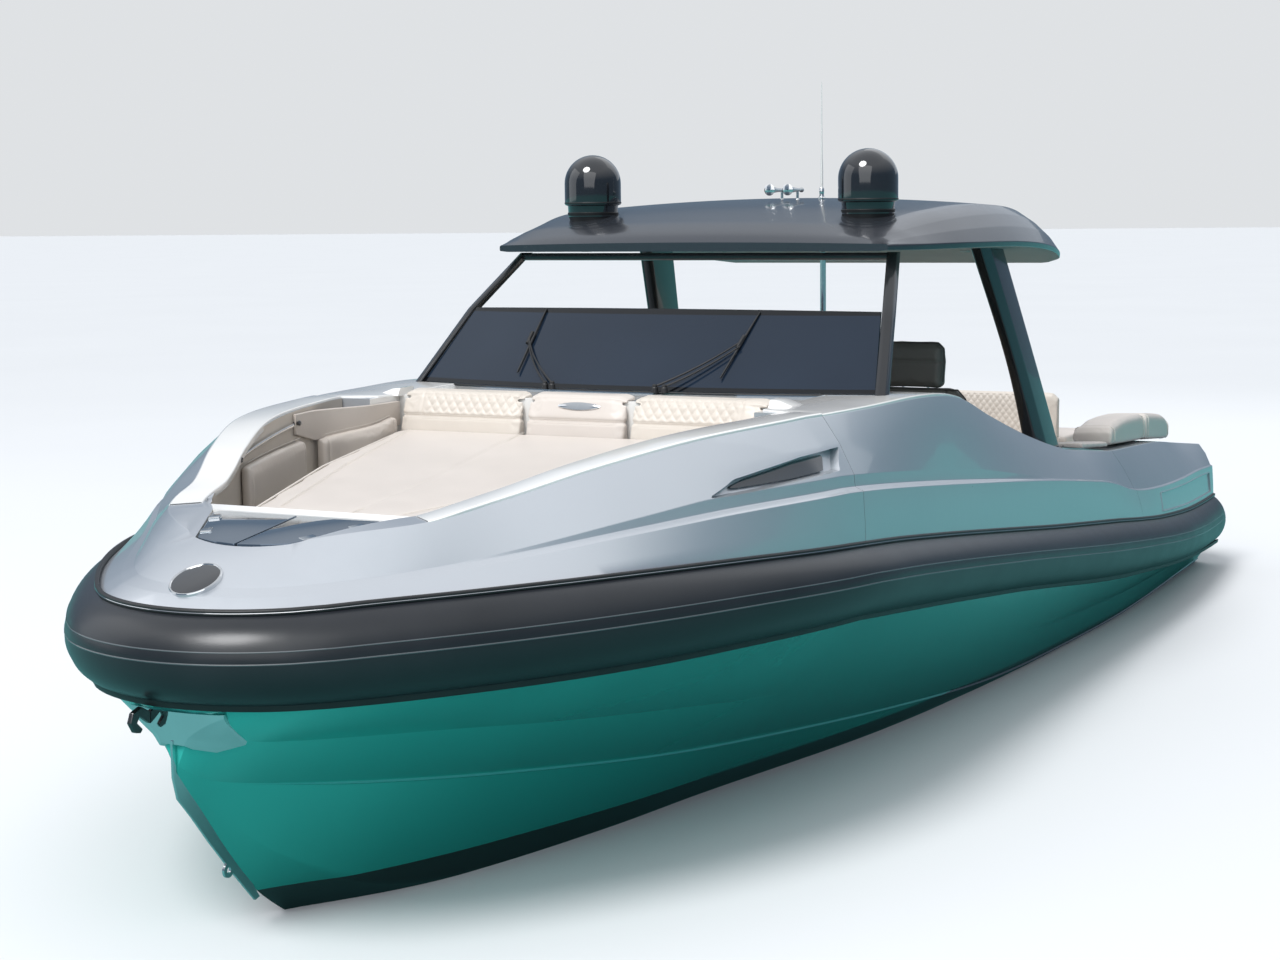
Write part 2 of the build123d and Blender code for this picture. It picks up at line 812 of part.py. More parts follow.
# Cushions against the well's walls, each a list of x, gap to the wall, low z, top z
side_cushion_thickness = 68
side_cushion_rows = [
    [(4290, 4, 1600, 1910), (3975, 4, 1600, 1922), (3660, 4, 1600, 1934), (3345, 4, 1600, 1945)],
    [(3155, 4, 1640, 1928), (2990, 74, 1670, 1948), (2785, 195, 1700, 1976), (2560, 216, 1720, 2008)],
]
with BuildPart() as bow_side_cushions:
    for side in (1, -1):
        for rows in side_cushion_rows:
            outer = [(x, well_wall(x) - gap, low, high) for x, gap, low, high in rows]
            add(
                long_piece(
                    [(x, y - side_cushion_thickness, y, low, high) for x, y, low, high in outer],
                    22,
                    side,
                )
            )
bow_side_cushions.part.label = "bow_side_cushions"
export_step(bow_side_cushions.part, "parts/bow_side_cushions.step")

# Metal trim strip over each forward cushion: x, middle z
trim_rows = [(4325, 1937), (4030, 1963), (3735, 1990), (3438, 2016)]
trim_size = 24
trim_wall_gap = 3
with BuildPart() as well_trim:
    for side in (1, -1):
        rows = []
        for x, z in trim_rows:
            outer = well_wall(x) - trim_wall_gap
            rows.append((x, outer - trim_size, outer, z - trim_size / 2, z + trim_size / 2))
        add(long_piece(rows, 6, side))
well_trim.part.label = "well_trim"
export_step(well_trim.part, "parts/well_trim.step")

# Bow backrest in three lengths across the aft end of the well: x, z of its section
backrest_lengths = [(-1180, -340), (-330, 330), (340, 1180)]
backrest_outline = [
    (2535, 1800),
    (2500, 2020),
    (2450, 2150),
    (2330, 2160),
    (2330, 2114),
    (2445, 2114),
    (2445, 1800),
]
with BuildPart() as bow_backrest:
    for start_y, end_y in backrest_lengths:
        with BuildSketch(Plane.XZ.offset(-start_y)):
            with BuildLine():
                Polyline(*backrest_outline, close=True)
            make_face()
        extrude(amount=start_y - end_y)
bow_backrest.part.label = "bow_backrest"
export_step(bow_backrest.part, "parts/bow_backrest.step")

# Deckhouse: hollow cabin under the windscreen, with a door in its aft wall
house_front_x = well_aft_x - fixed_gap
house_half = half_beam - coaming_inset - fixed_gap
house_foot_x = house_aft_x + house_wall - fixed_gap
house_foot_z = sole_z - sole_thickness
dash_foot_z = 1700
dash_x = 700
dash_z = 2040
dash_top_x = 1000
sheer_under_house = [
    (x, sheer_at(x)) for x in (house_foot_x, 560, 2280, house_front_x)
]
with BuildPart() as deckhouse:
    with BuildSketch(Plane.XZ):
        with BuildLine():
            Polyline(
                (house_aft_x, house_foot_z),
                (house_foot_x, house_foot_z),
                *sheer_under_house,
                (house_front_x, house_top_z),
                (dash_top_x, house_top_z),
                (dash_x, dash_z),
                (house_aft_x, dash_foot_z),
                close=True,
            )
        make_face()
    extrude(amount=house_half, both=True)
    # the cabin inside
    with BuildSketch(Plane.XZ):
        with BuildLine():
            inner_aft_x = house_aft_x + house_wall
            Polyline(
                (inner_aft_x, cabin_floor_z),
                (cabin_front_x, cabin_floor_z),
                (cabin_front_x, house_top_z - house_wall),
                (dash_top_x + 10, house_top_z - house_wall),
                (dash_x + 30, dash_z - house_wall),
                (inner_aft_x, dash_foot_z - 10),
                close=True,
            )
        make_face()
    extrude(amount=house_half - house_wall, both=True, mode=Mode.SUBTRACT)
    add(
        slab(
            (house_aft_x - 20, -door_width / 2, door_sill_z),
            (inner_aft_x + 20, door_width / 2, door_sill_z + door_height),
        ),
        mode=Mode.SUBTRACT,
    )
    add(plan_prism(coaming_inset + fixed_gap, transom_x), mode=Mode.INTERSECT)
deckhouse.part.label = "deckhouse"
export_step(deckhouse.part, "parts/deckhouse.step")

with BuildPart() as cabin_door:
    with BuildSketch(Plane.YZ.offset(house_aft_x + fixed_gap)):
        with Locations((0, door_sill_z + door_height / 2)):
            RectangleRounded(door_width - 2 * moving_gap, door_height - 2 * moving_gap, 30)
    extrude(amount=door_thickness)
    # pull handle near the free edge
    with BuildSketch(Plane.YZ.offset(house_aft_x + fixed_gap)):
        with Locations((-door_width / 2 + 60, door_sill_z + door_height / 2)):
            SlotOverall(170, 26, rotation=90)
    extrude(amount=-22)
cabin_door.part.label = "cabin_door"
export_step(cabin_door.part, "parts/cabin_door.step")

# Instrument pods either side of the door
pod_inner_y = 370
pod_outer_y = house_half - 26
wheel_y = -780
face_low = (230, 1500)
face_high = (350, 1900)
face_length = sqrt((face_high[0] - face_low[0]) ** 2 + (face_high[1] - face_low[1]) ** 2)
wheel_axis = (
    -(face_high[1] - face_low[1]) / face_length,
    0,
    (face_high[0] - face_low[0]) / face_length,
)
face_middle = ((face_low[0] + face_high[0]) / 2, wheel_y, (face_low[1] + face_high[1]) / 2)
face_plane = Plane(origin=face_middle, x_dir=(0, 1, 0), z_dir=wheel_axis)
boss_length = 40
shaft_radius = 16
running_clearance = 0.05
with BuildPart() as helm_console:
    for side in (1, -1):
        with BuildSketch(Plane.XZ.offset(-side * pod_inner_y)):
            with BuildLine():
                Polyline(
                    (house_aft_x - fixed_gap, 1240),
                    (house_aft_x - fixed_gap, dash_foot_z),
                    (house_aft_x + 142, dash_foot_z + 201),
                    (house_aft_x + 110, 1960),
                    face_high,
                    face_low,
                    (330, 1290),
                    close=True,
                )
            make_face()
        extrude(amount=-side * (pod_outer_y - pod_inner_y))
    with BuildSketch(face_plane):
        Circle(42)
    extrude(amount=boss_length)
    with BuildSketch(face_plane.offset(-30)):
        Circle(shaft_radius + running_clearance)
    extrude(amount=boss_length + 31, mode=Mode.SUBTRACT)
helm_console.part.label = "helm_console"
export_step(helm_console.part, "parts/helm_console.step")

wheel_radius = 180
rim_radius = 14
wheel_offset = boss_length + 70
wheel_plane = face_plane.offset(wheel_offset)
with BuildPart() as steering_wheel:
    with BuildSketch(face_plane.offset(-20)):
        Circle(shaft_radius)
    extrude(amount=wheel_offset + 20)
    with BuildSketch(wheel_plane.offset(-14)):
        Circle(40)
    extrude(amount=30)
    with BuildSketch(wheel_plane.offset(-6)):
        with PolarLocations(wheel_radius / 2 + 10, 3, start_angle=90):
            Rectangle(wheel_radius - 16, 34)
    extrude(amount=10)
    rim_side = wheel_plane.x_dir.cross(wheel_plane.z_dir)
    with BuildSketch(Plane(origin=wheel_plane.origin, x_dir=(0, 1, 0), z_dir=rim_side)):
        with Locations((wheel_radius, 0)):
            Circle(rim_radius)
    revolve(axis=Axis(wheel_plane.origin, wheel_plane.z_dir))
steering_wheel.part.label = "steering_wheel"
export_step(steering_wheel.part, "parts/steering_wheel.step")

# Two helm seats on moulded pedestals
seat_y = 780
with BuildPart() as helm_seats:
    for side in (1, -1):
        y = side * seat_y
        # pedestal, seat, back and headrest: low and high corner in x, half width, low and high z
        for back_x, front_x, half_width, low, high in (
            (-820, -420, 240, sole_z + fixed_gap, 1200),
            (-900, -320, 380, 1190, 1330),
        ):
            with BuildSketch(Plane.XY.offset(low)):
                with Locations(((back_x + front_x) / 2, y)):
                    RectangleRounded(front_x - back_x, 2 * half_width, 70)
            extrude(amount=high - low)
        for half_width, foot, head in (
            (415, (-780, 1300), (-880, 1950)),
            (225, (-872, 1900), (-905, 2270)),
        ):
            lean = Plane(
                origin=(foot[0], y, foot[1]),
                x_dir=(0, 1, 0),
                z_dir=(-(head[1] - foot[1]), 0, head[0] - foot[0]),
            )
            tall = sqrt((head[0] - foot[0]) ** 2 + (head[1] - foot[1]) ** 2)
            with BuildSketch(lean.offset(-60)):
                with Locations((0, -tall / 2)):
                    RectangleRounded(2 * half_width, tall, 60)
            extrude(amount=120)
helm_seats.part.label = "helm_seats"
export_step(helm_seats.part, "parts/helm_seats.step")

# Windscreen: a curved tinted glass, open above its top edge
with BuildPart() as windscreen:
    for level, centre_x, corner_x, half in (
        (glass_base_z, glass_base_centre_x, glass_base_corner_x, glass_base_half),
        (glass_top_z, glass_top_centre_x, glass_top_corner_x, glass_top_half),
    ):
        with BuildSketch(Plane.XY.offset(level)):
            with BuildLine():
                ThreePointArc((corner_x, -half), (centre_x, 0), (corner_x, half))
                Line((corner_x, half), (corner_x - glass_thickness, half))
                ThreePointArc(
                    (corner_x - glass_thickness, half),
                    (centre_x - glass_thickness, 0),
                    (corner_x - glass_thickness, -half),
                )
                Line((corner_x - glass_thickness, -half), (corner_x, -half))
            make_face()
    loft(ruled=True)
windscreen.part.label = "windscreen"
export_step(windscreen.part, "parts/windscreen.step")

# Raked pillars, header and the strip that the glass stands on
sill_low_z = house_top_z + 6
pillar_top_half = 1272
strip_half = glass_base_half + 25
pillar_rows = [
    (sill_low_z, glass_base_corner_x - 10, glass_base_half + 37),
    (glass_top_z - 20, glass_top_corner_x - 10, glass_top_half + 44),
    (header_z + 23, header_x - 15, pillar_top_half),
]
with BuildPart() as windscreen_frame:
    for side in (1, -1):
        with BuildPart(mode=Mode.PRIVATE) as pillar:
            for level, x, y in pillar_rows:
                with BuildSketch(Plane.XY.offset(level)):
                    with Locations((x, side * y)):
                        Rectangle(pillar_depth, pillar_width)
            loft(ruled=True)
        add(pillar.part)
    with BuildSketch(Plane.XY.offset(header_z - 32)):
        with Locations((header_x, 0)):
            Rectangle(header_depth, 2 * (pillar_top_half - 10))
    extrude(amount=header_height)
    with BuildSketch(Plane.XY.offset(sill_low_z)):
        with BuildLine():
            corner, centre = glass_base_corner_x, glass_base_centre_x
            ThreePointArc((corner + 20, -strip_half), (centre + 20, 0), (corner + 20, strip_half))
            Line((corner + 20, strip_half), (corner - 40, strip_half))
            ThreePointArc((corner - 40, strip_half), (centre - 40, 0), (corner - 40, -strip_half))
            Line((corner - 40, -strip_half), (corner + 20, -strip_half))
        make_face()
    extrude(amount=glass_base_z - 1 - sill_low_z)
windscreen_frame.part.label = "windscreen_frame"
export_step(windscreen_frame.part, "parts/windscreen_frame.step")


def bar(start, end, width, depth):
    """A straight bar between two points."""
    line = Vector(*end) - Vector(*start)
    with BuildPart() as rod:
        with BuildSketch(Plane(origin=start, z_dir=line)):
            Rectangle(width, depth)
        extrude(amount=line.length)
    return rod.part


def glass_x(y, z):
    """Length at which the glass's outer face stands, for a breadth and a height."""
    rise = (z - glass_base_z) / (glass_top_z - glass_base_z)
    base = glass_base_centre_x - (glass_base_centre_x - glass_base_corner_x) * (y / glass_base_half) ** 2
    top = glass_top_centre_x - (glass_top_centre_x - glass_top_corner_x) * (y / glass_top_half) ** 2
    return base + (top - base) * rise


# Twin-arm wipers: pivot y, head y, blade foot y z, blade top y z
wiper_table = [(300, 640, 470, 2190, 830, 2560), (-400, -700, -590, 2210, -730, 2560)]
with BuildPart() as wipers:
    for pivot_y, head_y, foot_y, foot_z, top_y, top_z in wiper_table:
        pivot = (glass_x(pivot_y, glass_base_z) + 75, pivot_y, glass_base_z + 25)
        head = (glass_x(head_y, 2380) + 45, head_y, 2380)
        add(bar(pivot, head, 16, 12))
        pivot_low = (pivot[0], pivot_y, sill_low_z)
        with BuildSketch(Plane(origin=pivot_low, z_dir=(0, 0, 1))):
            Circle(20)
        extrude(amount=45)
        add(
            bar(
                (glass_x(foot_y, foot_z) + 40, foot_y, foot_z),
                (glass_x(top_y, top_z) + 40, top_y, top_z),
                14,
                22,
            )
        )
wipers.part.label = "wipers"
export_step(wipers.part, "parts/wipers.step")

# Roof: length, half-breadth, underside z, shoulder z, crest z
roof_shoulder_inset = 230
roof_rows = [
    (1080, 1330, 2912, 2970, 2985),
    (960, 1395, 2910, 3010, 3040),
    (800, 1450, 2908, 3058, 3090),
    (200, 1560, 2908, 3145, 3195),
    (-600, 1605, 2900, 3178, 3238),
    (-1400, 1560, 2860, 3130, 3190),
    (-2050, 1440, 2790, 3010, 3060),
    (-2300, 1290, 2755, 2925, 2960),
]
roof_lengths = [1080, 960, 800, 500, 200, -200, -600, -1000, -1400, -1750, -2050, -2300]
with BuildPart() as hardtop:
    for x, half, under, shoulder, crest in rows_between(roof_rows, roof_lengths):
        inner = half - roof_shoulder_inset
        with BuildSketch(Plane.YZ.offset(x)):
            with BuildLine():
                Polyline(
                    (-inner, shoulder),
                    (-half, under + roof_edge),
                    (-half, under),
                    (half, under),
                    (half, under + roof_edge),
                    (inner, shoulder),
                )
                ThreePointArc((inner, shoulder), (0, crest), (-inner, shoulder))
            make_face()
    loft(ruled=True)
hardtop.part.label = "hardtop"
export_step(hardtop.part, "parts/hardtop.step")

# Slim post under the roof beside the helm seats
post_x = -280
roof_post_radius = 20
with BuildPart() as roof_post:
    with BuildSketch(Plane.XY.offset(sole_z + fixed_gap)):
        with Locations((post_x, mast_y)):
            Circle(roof_post_radius)
    extrude(amount=dome_base_z - sole_z)
    add(hardtop.part, mode=Mode.SUBTRACT)
    add(slab((post_x - 50, 0, 3000), (post_x + 50, 700, 4000)), mode=Mode.SUBTRACT)
roof_post.part.label = "roof_post"
export_step(roof_post.part, "parts/roof_post.step")

# Raked blade arches from the coaming to the roof: z, x, y, length, width
arch_sections = [
    (1425, arch_foot_x, arch_foot_y, 430, 150),
    (2100, -1400, 1365, 400, 110),
    (2960, -940, 1245, 420, 120),
]
with BuildPart() as arches:
    for side in (1, -1):
        with BuildPart(mode=Mode.PRIVATE) as arch:
            for level, x, y, length, width in arch_sections:
                with BuildSketch(Plane.XY.offset(level)):
                    with Locations((x, side * y)):
                        RectangleRounded(length, width, 30)
            loft(ruled=True)
        add(arch.part)
    add(hardtop.part, mode=Mode.SUBTRACT)
    add(slab((-3000, -2000, 3000), (0, 2000, 3400)), mode=Mode.SUBTRACT)
    for wing in wings.values():
        add(wing, mode=Mode.SUBTRACT)
arches.part.label = "arches"
export_step(arches.part, "parts/arches.step")

# Domes, mast and horns on the roof
with BuildPart() as satellite_domes:
    for side in (1, -1):
        radius = dome_diameter / 2
        shoulder_z = dome_top_z - radius
        with BuildPart(mode=Mode.PRIVATE) as dome:
            with BuildSketch(Plane.XZ):
                with BuildLine():
                    Line((0, 3000), (radius - 22, 3000))
                    Line((radius - 22, 3000), (radius - 22, dome_base_z + 45))
                    Line((radius - 22, dome_base_z + 45), (radius, dome_base_z + 55))
                    Line((radius, dome_base_z + 55), (radius, shoulder_z))
                    ThreePointArc(
                        (radius, shoulder_z),
                        (radius * cos(radians(45)), shoulder_z + radius * sin(radians(45))),
                        (0, dome_top_z),
                    )
                    Line((0, dome_top_z), (0, 3000))
                make_face()
            revolve(axis=Axis.Z)
        add(dome.part.moved(Location((dome_x, side * dome_y, 0))))
    add(hardtop.part, mode=Mode.SUBTRACT)
    add(slab((0, -1300, 2700), (900, 1300, 3060)), mode=Mode.SUBTRACT)
satellite_domes.part.label = "satellite_domes"
export_step(satellite_domes.part, "parts/satellite_domes.step")

with BuildPart() as antenna:
    for low, high, foot, head in ((3150, 3290, 28, 16), (3290, mast_top_z, 9, 4)):
        with BuildSketch(Plane.XY.offset(low)):
            with Locations((mast_x, mast_y)):
                Circle(foot)
        with BuildSketch(Plane.XY.offset(high)):
            with Locations((mast_x, mast_y)):
                Circle(head)
        loft(ruled=True)
    add(hardtop.part, mode=Mode.SUBTRACT)
antenna.part.label = "antenna"
export_step(antenna.part, "parts/antenna.step")

# Twin trumpet horns on the crest of the roof: y, front x, length
with BuildPart() as horns:
    for y, front, length in ((60, -60, 300), (190, -60, 240)):
        with BuildPart(mode=Mode.PRIVATE) as trumpet:
            for back, radius in ((0, 38), (0.2, 20), (1, 9)):
                with BuildSketch(Plane.YZ.offset(front - back * length)):
                    with Locations((y, 3290)):
                        Circle(radius)
            loft(ruled=True)
        add(trumpet.part)
        with BuildSketch(Plane.XY.offset(3190)):
            with Locations((front - length * 0.7, y)):
                Circle(11)
        extrude(amount=95)
    add(hardtop.part, mode=Mode.SUBTRACT)
horns.part.label = "horns"
export_step(horns.part, "parts/horns.step")

# Cockpit sole over the engine bay, with the opening under the engine hatch
with BuildPart() as cockpit_sole:
    add(plan_prism(coaming_inset + fixed_gap, transom_x, 0, sole_z))
    add(slab((transom_x, -1500, 0), (house_aft_x - fixed_gap, 1500, sole_z)), mode=Mode.INTERSECT)
    add(above_sheer.part, mode=Mode.INTERSECT)
    add(
        slab(
            (helm_sole_aft_x, touch_gap - house_half, house_foot_z + touch_gap),
            (house_aft_x - fixed_gap, house_half - touch_gap, sole_z),
        )
    )
    add(
        slab(
            (bay_aft_x, -bay_half, 0),
            (bay_front_x, bay_half, sole_z - sole_thickness),
        ),
        mode=Mode.SUBTRACT,
    )
    add(
        slab(
            (box_aft_x + box_wall, box_starboard_y + box_wall, 0),
            (box_front_x - box_wall, box_port_y - box_wall, sole_z + 10),
        ),
        mode=Mode.SUBTRACT,
    )
cockpit_sole.part.label = "cockpit_sole"
export_step(cockpit_sole.part, "parts/cockpit_sole.step")

# Sofa across the cockpit, with a way past it to port
sofa_front_x = box_front_x + 640
sofa_port_y = box_port_y
sofa_starboard_y = -1085
sofa_seat_z = 1040
with BuildPart() as sofa_base:
    add(
        slab(
            (box_front_x + 10, sofa_starboard_y, sole_z + fixed_gap),
            (sofa_front_x, sofa_port_y, sofa_seat_z),
        )
    )
sofa_base.part.label = "sofa_base"
export_step(sofa_base.part, "parts/sofa_base.step")

with BuildPart() as sofa_cushions:
    middle_y = (sofa_port_y + sofa_starboard_y) / 2
    for start_y, end_y in ((sofa_starboard_y, middle_y - 5), (middle_y + 5, sofa_port_y)):
        add(
            slab(
                (box_front_x + 130, start_y + 8, sofa_seat_z + fixed_gap),
                (sofa_front_x + 15, end_y - 8, sofa_seat_z + 120),
            )
        )
sofa_cushions.part.label = "sofa_cushions"
export_step(sofa_cushions.part, "parts/sofa_cushions.step")

with BuildPart() as sofa_backrest:
    add(
        slab(
            (box_front_x + 14, sofa_starboard_y + 8, sofa_seat_z + fixed_gap),
            (box_front_x + 124, sofa_port_y - 8, 1600),
        )
    )
sofa_backrest.part.label = "sofa_backrest"
export_step(sofa_backrest.part, "parts/sofa_backrest.step")

# Flat pads and bolsters on the quarters: x, outer edge's inset, width, low z, high z
pad_rows = placed_rows([(-2130, 250, 300, 1431, 1470), (-2835, 250, 300, 1371, 1412)])
bolster_rows = placed_rows(
    [
        (-2900, 240, 330, 1374, 1500),
        (-3300, 240, 340, 1352, 1538),
        (-4280, 290, 365, 1279, 1492),
        (-4300, 290, 365, 1276, 1490),
        (-5300, 303, 370, 1185, 1385),
        (-5560, 310, 360, 1155, 1300),
    ]
)
cushion_lengths = [(pad_rows, 15), (bolster_rows[:3], 45), (bolster_rows[3:], 45)]
with BuildPart() as quarter_cushions:
    for side in (1, -1):
        for rows, corner in cushion_lengths:
            outer = [(x, inset_half(x, inset), *rest) for x, inset, *rest in rows]
            add(long_piece([(x, y - width, y, low, high) for x, y, width, low, high in outer], corner, side))
quarter_cushions.part.label = "quarter_cushions"
export_step(quarter_cushions.part, "parts/quarter_cushions.step")

# Engine box, its hatch and the sunpad on the hatch
with BuildPart() as engine_box:
    add(
        slab(
            (box_aft_x, box_starboard_y, sole_z + fixed_gap),
            (box_front_x, box_port_y, box_top_z - hatch_thickness - moving_gap),
        )
    )
    add(
        slab(
            (box_aft_x + box_wall, box_starboard_y + box_wall, sole_z),
            (box_front_x - box_wall, box_port_y - box_wall, box_top_z),
        ),
        mode=Mode.SUBTRACT,
    )
engine_box.part.label = "engine_box"
export_step(engine_box.part, "parts/engine_box.step")

with BuildPart() as engine_hatch:
    add(
        slab(
            (box_aft_x, box_starboard_y, box_top_z - hatch_thickness),
            (box_front_x - moving_gap, box_port_y, box_top_z),
        )
    )
    fillet(engine_hatch.edges().filter_by(Axis.Z), 20)
engine_hatch.part.label = "engine_hatch"
export_step(engine_hatch.part, "parts/engine_hatch.step")

with BuildPart() as aft_sunpad:
    add(
        slab(
            (box_aft_x + 20, box_starboard_y + 20, box_top_z + fixed_gap),
            (box_front_x - 160, box_port_y - 20, box_top_z + pad_thickness),
        )
    )
    fillet(aft_sunpad.edges().filter_by(Axis.Z), 60)
aft_sunpad.part.label = "aft_sunpad"
export_step(aft_sunpad.part, "parts/aft_sunpad.step")

with BuildPart() as swim_platform:
    with BuildSketch(Plane.XY.offset(platform_z - platform_thickness)):
        with Locations((transom_x - fixed_gap - platform_length / 2, 0)):
            Rectangle(platform_length, 2 * platform_half)
    extrude(amount=platform_thickness)
    fillet(swim_platform.edges().filter_by(Axis.Z).group_by(Axis.X)[0], 180)
swim_platform.part.label = "swim_platform"
export_step(swim_platform.part, "parts/swim_platform.step")

# Engines, plain blocks at their real size and place
engine_aft_x = bay_aft_x + bay_slack / 2
with BuildPart() as engines:
    for side in (1, -1):
        add(
            slab(
                (engine_aft_x, side * engine_y - engine_width / 2, engine_floor_z),
                (
                    engine_aft_x + engine_length,
                    side * engine_y + engine_width / 2,
                    engine_floor_z + engine_height,
                ),
            )
        )
engines.part.label = "engines"
export_step(engines.part, "parts/engines.step")

# Sterndrives: gimbal housing on the transom, steering yoke, tilting leg, propeller
housing_depth = 90
swivel_radius = 18
swivel_low_z = -360
swivel_high_z = 100
arm_thickness = 30
yoke_gap = 6
post_radius = 50
tilt_x = steer_x - 125
tilt_radius = 60
tilt_pin_radius = 15
head_half = 84
fork_gap = 8
fork_thickness = 26
fork_half_height = 55
with BuildPart() as gimbal_housings:
    for side in (1, -1):
        y = side * engine_y
        with BuildSketch(Plane.YZ.offset(transom_x - fixed_gap)):
            with Locations((y, (swivel_low_z + swivel_high_z) / 2)):
                RectangleRounded(300, swivel_high_z - swivel_low_z + 2 * arm_thickness, 40)
        extrude(amount=-housing_depth)
        for level in (swivel_low_z, swivel_high_z):
            with BuildSketch(Plane.XY.offset(level)):
                with Locations(((transom_x + steer_x) / 2 - 40, y)):
                    Rectangle(abs(steer_x - transom_x) - 20, 110)
                with Locations((steer_x, y)):
                    Circle(45)
                    Circle(swivel_radius + running_clearance, mode=Mode.SUBTRACT)
            extrude(amount=arm_thickness)
gimbal_housings.part.label = "gimbal_housings"
export_step(gimbal_housings.part, "parts/gimbal_housings.step")


def lens(length, thick):
    """Corners of a streamlined section about its middle."""
    return [
        (length / 2, 0),
        (length / 4, thick / 2),
        (-length / 4, thick / 2),
        (-length / 2, 0),
        (-length / 4, -thick / 2),
        (length / 4, -thick / 2),
    ]


# Propeller blade sections: radius, chord, thickness, pitch angle
blade_rows = [(35, 105, 14, 60), (120, 135, 9, 38), (propeller_radius, 70, 5, 26)]

# Streamlined strut sections: z, front x, aft x, half width
strut_rows = [
    (-30, tilt_x + 45, tilt_x - 170, 62),
    (-400, tilt_x + 20, tilt_x - 210, 55),
    (propeller_z + 30, tilt_x, tilt_x - 230, 34),
]
for side, name in ((1, "port"), (-1, "starboard")):
    y = side * engine_y
    with BuildPart() as drive_yoke:
        with BuildSketch(Plane.XY.offset(swivel_low_z - 4)):
            with Locations((steer_x, y)):
                Circle(swivel_radius)
        extrude(amount=swivel_high_z - swivel_low_z + arm_thickness + 8)
        with BuildSketch(Plane.XY.offset(swivel_low_z + arm_thickness + yoke_gap)):
            with Locations((steer_x, y)):
                Circle(post_radius)
        extrude(amount=swivel_high_z - swivel_low_z - arm_thickness - 2 * yoke_gap)
        # cross beam and fork arms that hold the tilt pin
        fork_outer = head_half + fork_gap + fork_thickness
        add(
            slab(
                (steer_x - 40, y - fork_outer, tilt_z - fork_half_height),
                (steer_x + 30, y + fork_outer, tilt_z + fork_half_height),
            )
        )
        for arm in (1, -1):
            arm_y = y + arm * (head_half + fork_gap + fork_thickness / 2)
            with BuildSketch(Plane.XZ.offset(-arm_y - fork_thickness / 2)):
                with Locations((tilt_x, tilt_z)):
                    Circle(fork_half_height)
                with Locations(((tilt_x + steer_x) / 2, tilt_z)):
                    Rectangle(steer_x - tilt_x, 2 * fork_half_height)
                with Locations((tilt_x, tilt_z)):
                    Circle(tilt_pin_radius + running_clearance, mode=Mode.SUBTRACT)
            extrude(amount=fork_thickness)
    drive_yoke.part.label = f"drive_yoke_{name}"
    export_step(drive_yoke.part, f"parts/drive_yoke_{name}.step")

    with BuildPart() as drive_leg:
        with BuildSketch(Plane.XZ.offset(-y - head_half)):
            with Locations((tilt_x, tilt_z)):
                Circle(tilt_radius)
        extrude(amount=2 * head_half)
        with BuildSketch(Plane.XZ.offset(-y - head_half - fork_gap - fork_thickness)):
            with Locations((tilt_x, tilt_z)):
                Circle(tilt_pin_radius)
        extrude(amount=2 * (head_half + fork_gap + fork_thickness))
        with BuildPart(mode=Mode.PRIVATE) as strut:
            for level, front, aft, half in strut_rows:
                with BuildSketch(Plane.XY.offset(level)):
                    with Locations(((front + aft) / 2, y)):
                        Polygon(*lens(front - aft, 2 * half))
            loft(ruled=True)
        add(strut.part)
        # anti-ventilation plate
        with BuildSketch(Plane.XY.offset(-440)):
            with Locations((tilt_x - 190, y)):
                SlotOverall(460, 230)
        extrude(amount=14)
        # gearcase
        with BuildPart(mode=Mode.PRIVATE) as gearcase:
            with BuildSketch(Plane.XY):
                with BuildLine():
                    front = propeller_x + 380
                    Line((front, 0), (propeller_x + 8, 0))
                    Line((propeller_x + 8, 0), (propeller_x + 8, 52))
                    Line((propeller_x + 8, 52), (front - 140, 58))
                    ThreePointArc((front - 140, 58), (front - 45, 38), (front, 0))
                make_face()
            revolve(axis=Axis.X)
        add(gearcase.part.moved(Location((0, y, propeller_z))))
        with BuildSketch(Plane.XZ.offset(-y - 8)):
            with BuildLine():
                Polyline(
                    (propeller_x + 225, propeller_z - 40),
                    (propeller_x + 215, propeller_z - 90),
                    (propeller_x + 110, propeller_z - 250),
                    (propeller_x + 70, propeller_z - 250),
                    (propeller_x + 80, propeller_z - 40),
                    close=True,
                )
            make_face()
        extrude(amount=16)
        with BuildSketch(Plane(origin=(propeller_x + 7, y, propeller_z), z_dir=(1, 0, 0))):
            Circle(shaft_radius + running_clearance)
        extrude(amount=80, mode=Mode.SUBTRACT)
    drive_leg.part.label = f"drive_leg_{name}"
    export_step(drive_leg.part, f"parts/drive_leg_{name}.step")

    # four pitched blades on a hub
    hub = Plane(origin=(propeller_x, y, propeller_z), x_dir=(0, 1, 0), z_dir=(-1, 0, 0))
    hub_length = 115
    with BuildPart() as propeller:
        with BuildSketch(hub):
            Circle(propeller_hub_radius)
        extrude(amount=hub_length)
        with BuildSketch(hub.offset(-70)):
            Circle(shaft_radius)
        extrude(amount=75)
        with BuildPart(mode=Mode.PRIVATE) as blade:
            for radius, chord, thick, pitch in blade_rows:
                with BuildSketch(Plane.XY.offset(radius)):
                    with Locations(Location((0, 0, 0), (0, 0, side * pitch))):
                        Polygon(*lens(chord, thick))
            loft(ruled=True)
        for turn in range(4):
            add(
                blade.part.rotate(Axis.Z, 90)
                .rotate(Axis.X, 90 * turn + 45)
                .moved(Location((propeller_x - hub_length / 2, y, propeller_z)))
            )
    propeller.part.label = f"propeller_{name}"
    export_step(propeller.part, f"parts/propeller_{name}.step")

